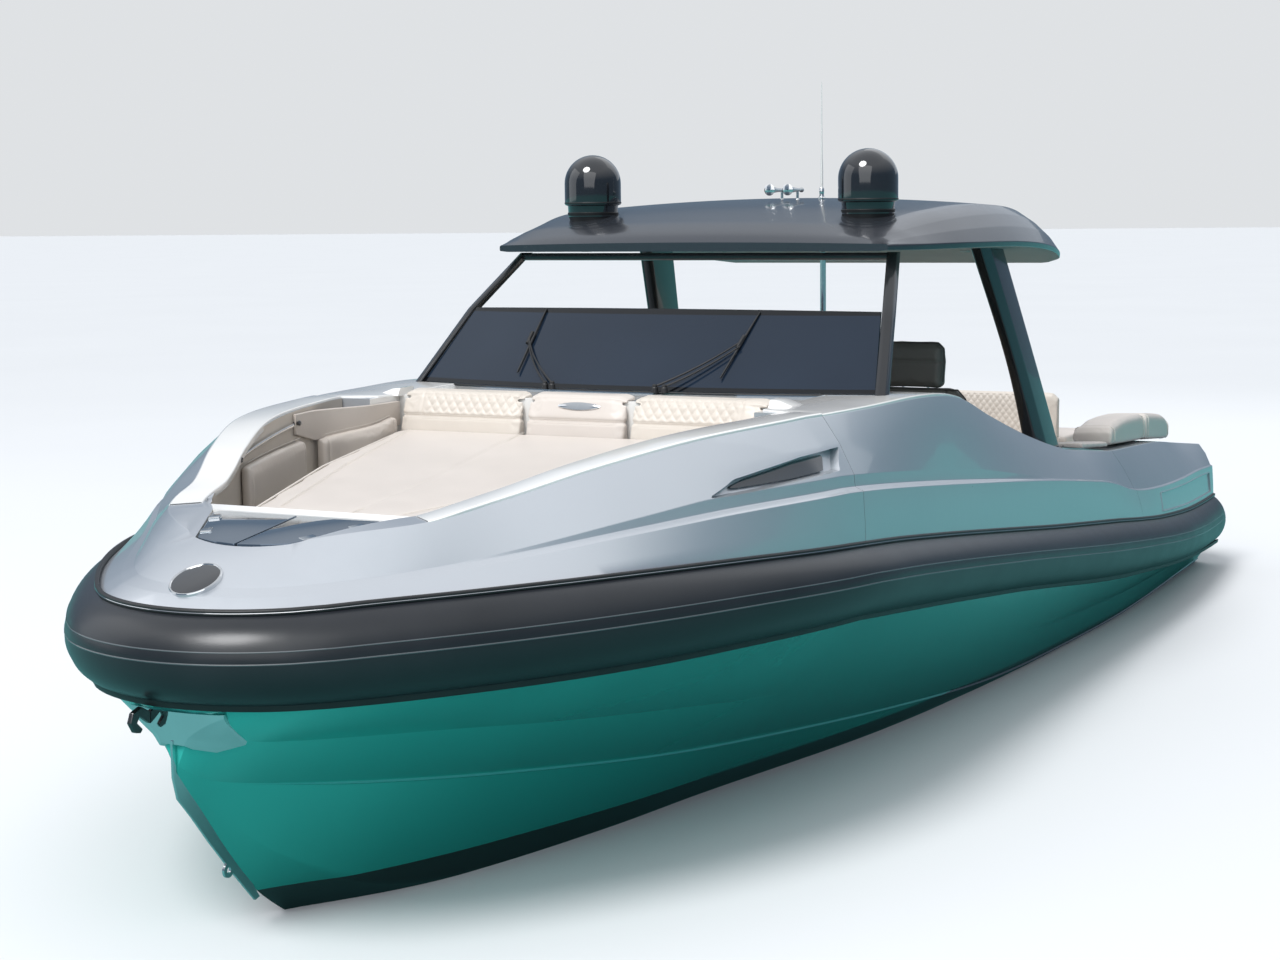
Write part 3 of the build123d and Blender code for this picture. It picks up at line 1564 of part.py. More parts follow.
# Stem plate with the towing eye, and the anchor stowed above it
eye_x = 5690
eye_z = 300
eye_radius = 14
plate_thickness = 12
stem_lengths = [5640, 5780, 5880, 5950, 6020]
wrap_half = 250
wrap_outline = [(6060, 1085), (6060, 965), (6000, 925), (5925, 900), (5850, 930), (5800, 1000), (5775, 1085)]
with BuildPart() as stem_plate:
    with BuildSketch(Plane.XZ.offset(-plate_thickness / 2)):
        with BuildLine():
            Polyline(
                (5480, 120),
                (5512, 112),
                (5672, 290),
                (5815, 460),
                (5925, 600),
                (6010, 700),
                (6035, 800),
                (6035, 960),
                (5990, 960),
                (5900, 700),
                (5600, 300),
                close=True,
            )
        make_face()
        with Locations((eye_x, eye_z)):
            Circle(34)
            Circle(eye_radius, mode=Mode.SUBTRACT)
    extrude(amount=plate_thickness)
    # plate wrapped round the stem under the collar
    with BuildPart(mode=Mode.PRIVATE) as wrap:
        add(hull_body(stem_lengths, plate_thickness).moved(Location((plate_thickness, 0, 0))))
        add(plan_prism(-plate_thickness, transom_x), mode=Mode.INTERSECT)
        with BuildSketch(Plane.XZ):
            with BuildLine():
                Polyline(*wrap_outline, close=True)
            make_face()
        extrude(amount=wrap_half, both=True, mode=Mode.INTERSECT)
    add(wrap.part)
    add(hull_blank.part, mode=Mode.SUBTRACT)
stem_plate.part.label = "stem_plate"
export_step(stem_plate.part, "parts/stem_plate.step")

# Anchor's fluke, which hooks out under the collar on the starboard side of the stem: x, z
anchor_y = -130
fluke_outline = [
    (6020, 1075),
    (6075, 1105),
    (6128, 1088),
    (6146, 1045),
    (6118, 1000),
    (6084, 992),
    (6070, 1008),
    (6104, 1040),
    (6086, 1066),
    (6020, 1020),
]
with BuildPart() as anchor:
    with BuildSketch(Plane.XZ.offset(-anchor_y - plate_thickness)):
        with BuildLine():
            Polyline(*fluke_outline, close=True)
        make_face()
    extrude(amount=2 * plate_thickness)
    add(hull.part, mode=Mode.SUBTRACT)
    add(stem_plate.part, mode=Mode.SUBTRACT)
anchor.part.label = "anchor"
export_step(anchor.part, "parts/anchor.step")

# Lifting and towing eyes on the transom
transom_eye_y = 1150
transom_eye_z = 110
transom_eye_radius = 13
with BuildPart() as transom_eyes:
    for side in (1, -1):
        with BuildSketch(Plane.XZ.offset(-side * transom_eye_y - plate_thickness / 2)):
            with Locations((transom_x - 40, transom_eye_z)):
                SlotOverall(110, 64)
            with Locations((transom_x - 60, transom_eye_z)):
                Circle(transom_eye_radius, mode=Mode.SUBTRACT)
        extrude(amount=plate_thickness)
    add(hull.part, mode=Mode.SUBTRACT)
transom_eyes.part.label = "transom_eyes"
export_step(transom_eyes.part, "parts/transom_eyes.step")
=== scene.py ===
import bmesh
import bpy
from math import acos, atan2, ceil, cos, exp, hypot, pi, radians, sin, sqrt
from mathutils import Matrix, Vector


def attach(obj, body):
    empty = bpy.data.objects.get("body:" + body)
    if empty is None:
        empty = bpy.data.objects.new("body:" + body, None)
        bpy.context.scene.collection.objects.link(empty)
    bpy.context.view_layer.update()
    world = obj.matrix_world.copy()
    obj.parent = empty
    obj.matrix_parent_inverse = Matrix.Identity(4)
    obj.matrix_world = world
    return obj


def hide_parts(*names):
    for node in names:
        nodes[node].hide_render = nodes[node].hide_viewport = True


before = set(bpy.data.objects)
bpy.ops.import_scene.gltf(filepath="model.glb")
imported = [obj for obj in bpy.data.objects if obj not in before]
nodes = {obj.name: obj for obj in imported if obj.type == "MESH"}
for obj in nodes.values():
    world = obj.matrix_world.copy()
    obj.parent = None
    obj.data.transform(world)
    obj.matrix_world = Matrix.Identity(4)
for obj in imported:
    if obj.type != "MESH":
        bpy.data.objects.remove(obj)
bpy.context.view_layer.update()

# Camera, at the place that the photograph was taken from: off the port bow, a little above
# the rail, looking aft and to starboard. There are no free cords on this boat.
camera_data = bpy.data.cameras.new("camera")
camera_data.lens = 60.33
camera_data.sensor_width = 36
camera_data.clip_end = 500
camera = bpy.data.objects.new("camera", camera_data)
camera.location = (12.9757, 5.8615, 3.1539)
camera.rotation_euler = (radians(82.889), radians(0.675), radians(117.413))
bpy.context.collection.objects.link(camera)
bpy.context.scene.camera = camera
bpy.context.scene.view_settings.view_transform = "Standard"


# Hull below the collar: a deep-vee moulding with two knuckles a side, in sea-green metallic
# paint over black bottom paint. The green is partly the paint's own and partly a painted
# reflection of green water, and it is painted darker low down and lighter higher up, as painted
# shade and light. Its sections run from the transom to a nearly plumb stem.
# Its paint, like every finish, is a shader, and sums on shader values are written as Python sums.
def shader_sum(operation, turned=False):
    """A method that does one operation on a field and another value, in turned order if asked."""

    def made(self, other=0.0):
        first, second = (other, self) if turned else (self, other)
        return self.finish.node("ShaderNodeMath", {"operation": operation}, {0: first, 1: second}).field(0)

    return made


class Field:
    """A shader value that can be added, multiplied and compared in Python."""

    def __init__(self, finish, socket):
        self.finish = finish
        self.socket = socket

    __add__ = shader_sum("ADD")
    __radd__ = shader_sum("ADD", True)
    __sub__ = shader_sum("SUBTRACT")
    __rsub__ = shader_sum("SUBTRACT", True)
    __mul__ = shader_sum("MULTIPLY")
    __rmul__ = shader_sum("MULTIPLY", True)
    __truediv__ = shader_sum("DIVIDE")
    __lt__ = shader_sum("LESS_THAN")
    __gt__ = shader_sum("GREATER_THAN")
    absolute = shader_sum("ABSOLUTE")
    fraction = shader_sum("FRACT")
    at_least = shader_sum("MAXIMUM")
    at_most = shader_sum("MINIMUM")


class Step:
    """One node of a finish, whose outputs come back as fields."""

    def __init__(self, finish, node):
        self.finish = finish
        self.node = node

    def field(self, name):
        return Field(self.finish, self.node.outputs[name])


class Finish:
    """A material with one glossy shader, and one method that adds any other node."""

    def __init__(self, name, roughness, metallic=0.0, coat=0.0, **constants):
        self.material = bpy.data.materials.new(name)
        self.material.use_nodes = True
        self.tree = self.material.node_tree
        self.shader = self.tree.nodes["Principled BSDF"]
        constants.update(Roughness=roughness, Metallic=metallic, Coat_Weight=coat)
        for socket, value in constants.items():
            self.set(socket.replace("_", " "), value)

    def put(self, socket, value):
        if isinstance(value, Field):
            self.tree.links.new(value.socket, socket)
        else:
            socket.default_value = value

    def node(self, kind, settings=None, values=None):
        node = self.tree.nodes.new(kind)
        for key, value in (settings or {}).items():
            setattr(node, key, value)
        for key, value in (values or {}).items():
            self.put(node.inputs[key], value)
        return Step(self, node)

    def place(self):
        """Object coordinates, which stay with the piece."""
        return self.node("ShaderNodeTexCoord").field("Object")

    def axes(self):
        """Object coordinates as three numbers."""
        split = self.node("ShaderNodeSeparateXYZ", None, {0: self.place()})
        return split.field("X"), split.field("Y"), split.field("Z")

    def noise(self, scale, detail=3.0, stretch=None):
        where = self.place()
        if stretch:
            where = self.node("ShaderNodeMapping", None, {"Vector": where, "Scale": stretch}).field("Vector")
        values = {"Vector": where, "Scale": scale, "Detail": detail}
        return self.node("ShaderNodeTexNoise", None, values).field("Fac")

    def blend(self, factor, first, second):
        """Two colours mixed by a factor."""
        step = self.node("ShaderNodeMix", {"data_type": "RGBA"}, {"Factor": factor})
        for index, colour in ((6, first), (7, second)):
            self.put(step.node.inputs[index], colour if isinstance(colour, Field) else (*colour, 1))
        return step.field(2)

    def colour(self, value):
        self.put(self.shader.inputs["Base Color"], value if isinstance(value, Field) else (*value, 1))

    def set(self, name, value):
        self.put(self.shader.inputs[name], value)

    def linked(self, name):
        """The field that is linked to an input of the shader so far."""
        return Field(self, self.shader.inputs[name].links[0].from_socket)

    def bump(self, height, distance, strength=1.0):
        values = {"Height": height, "Distance": distance, "Strength": strength}
        if self.shader.inputs["Normal"].links:
            values["Normal"] = self.linked("Normal")
        self.set("Normal", self.node("ShaderNodeBump", None, values).field("Normal"))


def flake_paint(name, light, dark, roughness, metallic):
    """Metallic boat paint: fine flake under a clear coat, and a little orange peel."""
    paint = Finish(name, roughness, metallic, 0.8)
    paint.set("Coat Roughness", 0.04)
    flake = paint.noise(900, 1.0)
    drift = paint.noise(0.7, 2.0)
    paint.colour(paint.blend(flake * 0.7 + drift * 0.5 - 0.1, dark, light))
    paint.set("Roughness", roughness - 0.04 + paint.noise(14, 2.0) * 0.08)
    paint.bump(paint.noise(60, 1.0), 0.0004, 0.25)
    return paint


mm = 0.001
bow_tip_x = 6017
nose_radius = 850
shoulder_radius = 4620
half_beam = 1858
taper_start_x = -2600
transom_x = -6100
stern_half_beam = 1665
nose_x = bow_tip_x - nose_radius
shoulder_y = half_beam - shoulder_radius
shoulder_x = nose_x - sqrt((shoulder_radius - nose_radius) ** 2 - shoulder_y**2)
taper_length = taper_start_x - transom_x
taper_drop = half_beam - stern_half_beam
quarter_radius = (taper_length**2 + taper_drop**2) / (2 * taper_drop)
quarter_y = half_beam - quarter_radius
nose_join_angle = atan2(-shoulder_y, nose_x - shoulder_x)
nose_join_x = nose_x + nose_radius * cos(nose_join_angle)


def edge_at(x):
    """Half-breadth of the deck edge at length x, and its outward direction."""
    if x > nose_join_x:
        y = sqrt(max(nose_radius**2 - (x - nose_x) ** 2, 0))
        return y, (x - nose_x) / nose_radius, y / nose_radius
    if x > shoulder_x:
        rise = sqrt(shoulder_radius**2 - (x - shoulder_x) ** 2)
        return shoulder_y + rise, (x - shoulder_x) / shoulder_radius, rise / shoulder_radius
    if x > taper_start_x:
        return half_beam, 0, 1
    rise = sqrt(quarter_radius**2 - (x - taper_start_x) ** 2)
    return quarter_y + rise, (x - taper_start_x) / quarter_radius, rise / quarter_radius


def on_edge(x, inset, z, side=1):
    """A point moved inboard of the deck edge by inset, square to it, in metres."""
    y, out_x, out_y = edge_at(x)
    return Vector(((x - out_x * inset) * mm, side * (y - out_y * inset) * mm, z * mm))


def row_at(table, x):
    """A row of a table at length x, on a smooth curve through its rows' values."""
    xs = [row[0] for row in table]
    for i in range(len(table) - 1):
        if xs[i] >= x >= xs[i + 1] or xs[i] <= x <= xs[i + 1]:
            break
    before, after = max(i - 1, 0), min(i + 2, len(table) - 1)
    span = xs[i + 1] - xs[i]
    t = (x - xs[i]) / span
    row = [x]
    for p0, p1, p2, p3 in zip(*(table[k][1:] for k in (before, i, i + 1, after))):
        start = (p2 - p0) / (xs[i + 1] - xs[before]) * span
        end = (p3 - p1) / (xs[after] - xs[i]) * span
        bend = t**2 * (3 * (p2 - p1) - 2 * start - end)
        row.append(p1 + t * start + bend + t**3 * (2 * (p1 - p2) + start + end))
    return row


def held(value):
    """A value kept between 0 and 1."""
    return min(1, max(0, value))


def steps_between(start, end, size):
    """Even positions from start to end, about size apart."""
    count = max(1, ceil(abs(end - start) / size))
    return [start + (end - start) * i / count for i in range(count + 1)]


def rounded(corners, steps=4):
    """A closed outline with its corners rounded: each corner is (a, b, radius)."""
    points = []
    count = len(corners)
    for i, (a, b, radius) in enumerate(corners):
        before = Vector(corners[i - 1][:2]) - Vector((a, b))
        after = Vector(corners[(i + 1) % count][:2]) - Vector((a, b))
        half = acos(max(-1, min(1, before.normalized() @ after.normalized()))) / 2
        if radius <= 0 or half > 1.55 or before.length == 0 or after.length == 0:
            points += [Vector((a, b))] * (steps + 1)
            continue
        cut = min(radius / max(sin(half) / cos(half), 1e-6), before.length * 0.45, after.length * 0.45)
        start = Vector((a, b)) + before.normalized() * cut
        end = Vector((a, b)) + after.normalized() * cut
        for k in range(steps + 1):
            t = k / steps
            points.append(start * (1 - t) ** 2 + Vector((a, b)) * 2 * t * (1 - t) + end * t**2)
    return points


def level_ring(z, side, corners, steps=3):
    """A rounded level section at height z, mirrored to a side."""
    return [Vector((a, side * b, z)) for a, b in rounded(corners, steps)]


def cross_ring(x, side, corners, steps=3):
    """A rounded section across the boat at length x, mirrored to a side."""
    return [Vector((x, side * a, b)) for a, b in rounded(corners, steps)]


def long_ring(y, corners, steps=3):
    """A rounded fore-and-aft section at breadth y."""
    return [Vector((a, y, b)) for a, b in rounded(corners, steps)]


def smooth_faces(mesh_maker, sharp):
    """Smooth faces, with hard edges where they meet at more than an angle in degrees."""
    for face in mesh_maker.faces:
        face.smooth = True
    for edge in mesh_maker.edges:
        if len(edge.link_faces) == 2:
            edge.smooth = edge.calc_face_angle(0) < radians(sharp)


def new_object(name, mesh_maker):
    """An object with the mesh that was built, put in the scene."""
    mesh = bpy.data.meshes.new(name)
    mesh_maker.to_mesh(mesh)
    mesh_maker.free()
    made = bpy.data.objects.new(name, mesh)
    bpy.context.collection.objects.link(made)
    return made


def finish_piece(mesh_maker, name, finish, slot, body="boat", sharp=32, replaced=(), bevel=0.0):
    """Turns built faces into a piece: joins doubles, points them out, and paints it."""
    bmesh.ops.remove_doubles(mesh_maker, verts=mesh_maker.verts, dist=1e-5)
    bmesh.ops.dissolve_degenerate(mesh_maker, edges=mesh_maker.edges, dist=1e-6)
    bmesh.ops.recalc_face_normals(mesh_maker, faces=mesh_maker.faces)
    smooth_faces(mesh_maker, sharp)
    piece = new_object(name, mesh_maker)
    if bevel:
        round_edges(piece, bevel, sharp)
    piece.data.materials.clear()
    piece.data.materials.append(finish.material)
    if replaced:
        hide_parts(*replaced)
    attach(piece, body)
    return piece


def round_edges(piece, width, sharp=32, segments=2):
    """Breaks a piece's hard edges with a small bevel, applied to its mesh."""
    modifier = piece.modifiers.new("bevel", "BEVEL")
    modifier.width = width
    modifier.segments = segments
    modifier.limit_method = "ANGLE"
    modifier.angle_limit = radians(sharp)
    modifier.harden_normals = False
    apply_modifiers(piece)
    piece.data.shade_smooth()


def apply_modifiers(piece):
    """Bakes a piece's modifiers into its mesh."""
    depsgraph = bpy.context.evaluated_depsgraph_get()
    depsgraph.update()
    mesh = bpy.data.meshes.new_from_object(piece.evaluated_get(depsgraph))
    mesh.name = piece.name
    piece.modifiers.clear()
    piece.data = mesh


def add_skin(mesh_maker, rows, ring=True, caps=True):
    """Faces over rows of points: each row a closed ring, with its ends capped."""
    made = [[mesh_maker.verts.new(point) for point in row] for row in rows]
    count = len(rows[0])
    for first, second in zip(made, made[1:]):
        for i in range(count if ring else count - 1):
            j = (i + 1) % count
            mesh_maker.faces.new((first[i], first[j], second[j], second[i]))
    if caps:
        mesh_maker.faces.new(list(reversed(made[0])))
        mesh_maker.faces.new(made[-1])
    return made


def skinned(name, rows, finish, slot, body="boat", **options):
    """A piece made of one skin over rows of points."""
    made = bmesh.new()
    add_skin(made, rows)
    return finish_piece(made, name, finish, slot, body, **options)


def paint_faces(piece, finish, chosen):
    """Gives the faces for which a function says so a further finish."""
    piece.data.materials.append(finish.material)
    for face in piece.data.polygons:
        if chosen(face):
            face.material_index = len(piece.data.materials) - 1


def add_block(mesh_maker, low, high):
    """A plain block, from its lowest to its highest corner, in metres."""
    made = bmesh.ops.create_cube(mesh_maker, size=1)["verts"]
    for vert in made:
        vert.co = Vector([low[i] + (vert.co[i] + 0.5) * (high[i] - low[i]) for i in range(3)])
    return made


def cut_away(piece, blocks):
    """Cuts closed shapes out of a piece."""
    for make_cutter in blocks:
        cutter_mesh = bmesh.new()
        make_cutter(cutter_mesh)
        bmesh.ops.recalc_face_normals(cutter_mesh, faces=cutter_mesh.faces)
        cutter = new_object("cutter", cutter_mesh)
        modifier = piece.modifiers.new("cut", "BOOLEAN")
        modifier.operation = "DIFFERENCE"
        modifier.solver = "EXACT"
        modifier.object = cutter
        apply_modifiers(piece)
        bpy.data.objects.remove(cutter)
    mark_sharp(piece)


def mark_sharp(piece, sharp=32):
    """Smooth shading, with hard edges where faces meet at an angle."""
    mesh_maker = bmesh.new()
    mesh_maker.from_mesh(piece.data)
    smooth_faces(mesh_maker, sharp)
    mesh_maker.to_mesh(piece.data)
    mesh_maker.free()
    modifier = piece.modifiers.new("normals", "WEIGHTED_NORMAL")
    modifier.keep_sharp = True
    apply_modifiers(piece)


sheer_line = [
    (6400, 1115),
    (3400, 1115),
    (2280, 1020),
    (560, 837),
    (-1700, 553),
    (-4200, 314),
    (-6400, 165),
]


def sheer_at(x):
    """Height of the sheer line, where hull and deck mouldings meet, at length x."""
    for (x1, z1), (x2, z2) in zip(sheer_line, sheer_line[1:]):
        if x >= x2:
            return z1 + (z2 - z1) * (x - x1) / (x2 - x1)
    return sheer_line[-1][1]


# sections: x, keel z, bilge y z, spray knuckle y z, upper knuckle y z, top y z
hull_sections = [
    (-6100, -600, 1515, 0, 1530, 35, 1625, 175, 1675, 190),
    (-3500, -640, 1560, 0, 1580, 25, 1680, 225, 1842, 375),
    (-2000, -650, 1510, 0, 1525, 25, 1660, 270, 1858, 515),
    (-500, -650, 1415, 0, 1435, 50, 1630, 343, 1858, 704),
    (1000, -630, 1235, 0, 1304, 160, 1554, 447, 1858, 884),
    (2700, -580, 870, 0, 1080, 316, 1390, 606, 1857, 1055),
    (3500, -530, 720, 0, 930, 400, 1257, 697, 1770, 1115),
    (4450, -400, 470, 0, 656, 518, 995, 800, 1470, 1115),
    (5000, -170, 290, 90, 454, 594, 760, 860, 1180, 1115),
    (5470, 130, 120, 330, 229, 665, 500, 900, 880, 1115),
    (5780, 475, 22, 580, 60, 724, 300, 930, 600, 1115),
    (5950, 700, 8, 740, 24, 800, 150, 965, 350, 1115),
    (6020, 790, 4, 815, 10, 850, 60, 985, 200, 1115),
]
strake = 12
hull_rows = []
hull_lengths = steps_between(transom_x, 4400, 110)
hull_lengths += steps_between(4400, 5900, 50)[1:] + steps_between(5900, 6010, 18)[1:]
for x in hull_lengths:
    x, keel, y1, z1, y2, z2, y3, z3, y4, z4 = row_at(hull_sections, x)
    limit = edge_at(x)[0] - 1
    z4 = sheer_at(x) - 1
    step = strake * held((y2 - 60) / 300)
    side_line = [
        (0, keel, 0),
        (y1 * 0.5, keel + (z1 - keel) * 0.47, 0),
        (y1, z1, 90),
        (y2, z2 - step, 3),
        (y2 + step, z2 - step * 0.7, 2),
        (y2 + step * 0.6, z2 + 3, 2),
        (y3, z3, 5),
        (y3 + (y4 - y3) * 0.5, z3 + (z4 - z3) * 0.46, 0),
        (y4, z4, 0),
    ]
    side_line = [(min(y, limit), z, radius) for y, z, radius in side_line]
    mirrored = [(-y, z, radius) for y, z, radius in reversed(side_line[1:])]
    outline = rounded(side_line + mirrored, 3)
    hull_rows.append([Vector((x * mm, y * mm, z * mm)) for y, z in outline])
# the hull's green is partly its paint's own colour and partly a painted reflection of green water
hull_paint = flake_paint("hull_paint", (0.060, 0.64, 0.55), (0.042, 0.52, 0.45), 0.22, 0.35)
along, across, height = hull_paint.axes()
stripe_top = 0.02 + (along + 6.1) * 0.0112
bottom = height < stripe_top
painted = hull_paint.linked("Base Color")
# painted light and shade: the green is painted lighter towards the top of the hull and darker low down
painted_light_by_height = ((height - 0.05) * 1.2).at_least(0.0).at_most(1.0)
painted = hull_paint.blend(painted_light_by_height, (0.022, 0.34, 0.285), painted)
hull_paint.colour(hull_paint.blend(bottom, painted, (0.012, 0.014, 0.015)))
hull_paint.set("Metallic", 0.35 - bottom * 0.35)
hull = skinned(
    "hull_shell", hull_rows, hull_paint, "hull_paint", sharp=24,
    replaced=["hull", "topside_port", "topside_starboard"]
)
cabin_cut = ((0.50, -0.85, 0.45), (2.18, 0.85, 1.3))
bay_cut = ((-6.01, -0.9, -0.15), (-4.84, 0.9, 0.8))
sole_cut = ((-0.7, -1.218, 0.655), (0.5, 1.218, 1.2))
cut_away(hull, [lambda made, b=b: add_block(made, *b) for b in (cabin_cut, bay_cut, sole_cut)])


# Foam collar right round the bow: a D-shaped tube of coated fabric with two fine welts at
# mid-height, glued under a rubber bead and over a rubber lip.
# stations: x, lower edge z, seam z, crease in and z, ledge, rail in and z, rail's width and rise
edge_stations = [
    (6017, 1115, 1508, 90, 1568, 60, 457, 1730, 170, 32),
    (5965, 1115, 1510, 90, 1568, 60, 450, 1735, 170, 30),
    (5810, 1115, 1516, 95, 1574, 58, 425, 1752, 170, 26),
    (5600, 1115, 1526, 110, 1587, 50, 355, 1785, 160, 18),
    (5310, 1117, 1531, 140, 1612, 42, 315, 1814, 155, 6),
    (4950, 1118, 1533, 150, 1645, 40, 392, 1872, 165, 2),
    (4450, 1119, 1528, 90, 1700, 42, 373, 1978, 185, 2),
    (3830, 1118, 1507, 38, 1738, 45, 312, 2066, 198, 2),
    (2970, 1090, 1455, 16, 1733, 45, 268, 2100, 196, 2),
    (2770, 1073, 1440, 15, 1722, 45, 245, 2102, 196, 2),
    (2300, 1025, 1398, 15, 1683, 45, 190, 2106, 200, 2),
    (1500, 940, 1313, 15, 1606, 45, 140, 2108, 230, 2),
    (900, 873, 1245, 15, 1545, 40, 150, 2050, 230, 2),
    (250, 800, 1170, 15, 1478, 30, 170, 1880, 230, 2),
    (-600, 694, 1072, 15, 1385, 15, 185, 1670, 230, 2),
    (-1500, 578, 975, 20, 1275, 12, 190, 1490, 230, 2),
    (-2200, 500, 900, 30, 1180, 12, 190, 1418, 230, 2),
    (-2850, 442, 825, 45, 1050, 12, 190, 1362, 230, 2),
    (-3500, 380, 758, 34, 990, 12, 205, 1318, 230, 2),
    (-4500, 296, 678, 38, 940, 12, 238, 1240, 230, 2),
    (-5400, 237, 630, 46, 905, 12, 255, 1140, 230, 2),
    (-6100, 190, 600, 15, 870, 12, 135, 1060, 230, 2),
]
nose_turns = [nose_x + nose_radius * cos(radians(a)) for a in steps_between(0, 37, 2.5)]
shoulder_turns = [shoulder_x + shoulder_radius * cos(radians(a)) for a in steps_between(47, 86, 1)]
bow_lengths = nose_turns + [x for x in shoulder_turns if x > 2800]
straight_lengths = steps_between(2770, -2600, 110) + steps_between(-2600, transom_x, 110)[1:]


def collar_ring(x, side):
    """One section of the collar, square to the deck edge."""
    low, seam = row_at(edge_stations, x)[1:3]
    middle, half = (low + seam) / 2, (seam - low) / 2
    bulge = 155 - 45 * held((-4000 - x) / 2100)
    radius = (half**2 + bulge**2) / (2 * bulge)
    centre = bulge - radius
    reach = acos(-centre / radius) if centre < 0 else pi - acos(centre / radius)
    ring = [(40, low), (2, low)]
    for i in range(33):
        angle = -reach + 2 * reach * i / 32
        ring.append((-centre - radius * cos(angle), middle + radius * sin(angle)))
    ring += [(2, seam), (40, seam)]
    return [on_edge(x, inset, z, side) for inset, z in ring]


collar_finish = Finish("collar_fabric", 0.34, 0.0, 0.18, Specular_IOR_Level=0.4)
collar_finish.set("Coat Roughness", 0.22)
scuff = collar_finish.noise(3.0, 4.0)
collar_finish.colour(collar_finish.blend(scuff, (0.010, 0.012, 0.015), (0.020, 0.022, 0.027)))
collar_finish.set("Roughness", 0.26 + scuff * 0.16)
collar_finish.bump(collar_finish.noise(420, 2.0), 0.0004, 0.5)
collar_lengths = bow_lengths + straight_lengths
rubber = Finish("black_rubber", 0.45)
rubber.colour(rubber.blend(rubber.noise(9, 3.0), (0.008, 0.008, 0.009), (0.02, 0.02, 0.021)))
rubber.bump(rubber.noise(300, 2.0), 0.0003, 0.5)


def round_the_bow(place_at):
    """What place_at gives for each length of the edge, from the port quarter to the starboard one."""
    return [place_at(x, 1) for x in reversed(collar_lengths)] + [place_at(x, -1) for x in collar_lengths[1:]]


def fine_line(name, place_at, half_width, half_height, finish, slot):
    """A fine raised line along the collar, right round the bow."""
    points = round_the_bow(place_at)
    rows = []
    for first, point, last in zip([points[0]] + points, points, points[1:] + [points[-1]]):
        run = (last - first).normalized()
        out = Vector((-run.y, run.x, 0)).normalized() * half_width
        up = Vector((0, 0, half_height))
        rows.append([point + out, point + up, point - out, point - up])
    skinned(name, rows, finish, slot)


def gloss(name, light, dark, roughness, metallic=0.0, coat=0.6, scale=3.0, grain=0.0):
    """A smooth finish with a slight drift of colour and roughness, and a fine grain if asked."""
    made = Finish(name, roughness, metallic, coat)
    made.set("Coat Roughness", 0.05)
    drift = made.noise(scale, 3.0)
    made.colour(made.blend(drift, dark, light))
    made.set("Roughness", roughness * 0.8 + drift * roughness * 0.4)
    if grain:
        made.bump(made.noise(350, 2.0), grain, 0.5)
    return made


skinned(
    "collar_tube", round_the_bow(collar_ring), collar_finish, "collar",
    replaced=["collar_port", "collar_starboard"]
)
welt_finish = gloss("collar_welt", (0.10, 0.11, 0.12), (0.07, 0.077, 0.085), 0.5)
for point_index, name in ((19, "lower"), (22, "upper")):
    fine_line(
        f"collar_welt_{name}", lambda x, side: collar_ring(x, side)[point_index],
        0.002, 0.0042, welt_finish, "collar",
    )

# the bead over the collar and the lip under it run right round the bow: inset, rise, radius
trim_sections = {
    "collar_bead": [(-14, -6, 8), (-16, 22, 9), (3, 26, 4), (6, -6, 2)],
    "collar_lip": [(-52, 26, 5), (-46, -6, 8), (2, -16, 3), (2, 10, 2)],
}
for name, outline in trim_sections.items():
    level = 2 if name == "collar_bead" else 1
    rows = round_the_bow(lambda x, side: [
        on_edge(x, a, row_at(edge_stations, x)[level] + b, side) for a, b in rounded(outline, 3)
    ])
    skinned(name, rows, rubber, "black_trim")

stainless = gloss("stainless", (0.80, 0.81, 0.82), (0.66, 0.67, 0.68), 0.12, 1.0, 0.0, 8.0)
# a thin bright line runs along the bead
fine_line(
    "bead_line", lambda x, side: on_edge(x, -14.5, row_at(edge_stations, x)[2] + 8, side),
    0.0016, 0.0035, stainless, "stainless",
)


# Deck mouldings, silver outside: the foredeck round the nose, a wing each side past the
# windscreen, and a quarter each side aft. A ledge and a shoulder run along their flank.
silver_paint = flake_paint("silver_paint", (0.60, 0.625, 0.66), (0.49, 0.515, 0.555), 0.30, 0.55)
both_sides = ((1, "port"), (-1, "starboard"))
foredeck_inner = 790
coaming_inset = 640
wing_start_x = 2770
quarter_start_x = -2850
joint_gap = 2.5


def shoulder_at(x):
    """Height of the soft shoulder over the ledge, which fades towards the nose and the stern."""
    return 3 + 59 * held((5250 - x) / 1200) * held((x + 700) / 1500)


def flank(x, inner):
    """The outline of a deck moulding, from under the collar over the rail to inside."""
    low, seam, crease, crease_z, ledge, rail, rail_z, width, rise = row_at(edge_stations, x)[1:]
    ledge_z = crease_z + ledge * 0.45
    top = ledge_z + shoulder_at(x)
    swell = 10 if x < 5300 else 16
    return [
        (0, low + 2, 0),
        (0, seam - 6, 0),
        (crease * 0.45 - 2, seam + (crease_z - seam) * 0.45, 0),
        (crease, crease_z, 7),
        (crease + ledge, ledge_z, 9),
        (crease + ledge + 6, top, 14),
        (crease + ledge + (rail - crease - ledge) * 0.5 - 4, top + (rail_z - top) * 0.5 + swell, 0),
        (rail, rail_z, 16),
        (rail + width, rail_z + rise, 0),
        (inner, rail_z + rise * 1.5, 6),
        (inner, low + 2, 0),
    ]


def flank_row(x, inner, side, shift=None):
    """A section of a moulding as points, with its end slanted where shift is given."""
    row = []
    for a, b in rounded(flank(x, inner), 4):
        place = x + shift(b) if shift else x
        row.append(on_edge(place, a, b, side))
    return row


foredeck_lengths = [bow_tip_x - 0.01] + bow_lengths[1:] + [wing_start_x + joint_gap]
foredeck_rows = [flank_row(x, foredeck_inner, 1) for x in reversed(foredeck_lengths)]
foredeck_rows += [flank_row(x, foredeck_inner, -1) for x in foredeck_lengths[1:]]
foredeck = skinned("foredeck_shell", foredeck_rows, silver_paint, "silver_paint", replaced=["foredeck"])


def add_prism(mesh_maker, outline, low, high):
    """An upright prism on an outline of (x, y) in metres."""
    add_skin(mesh_maker, [[Vector((x, y, z)) for x, y in outline] for z in (low, high)])


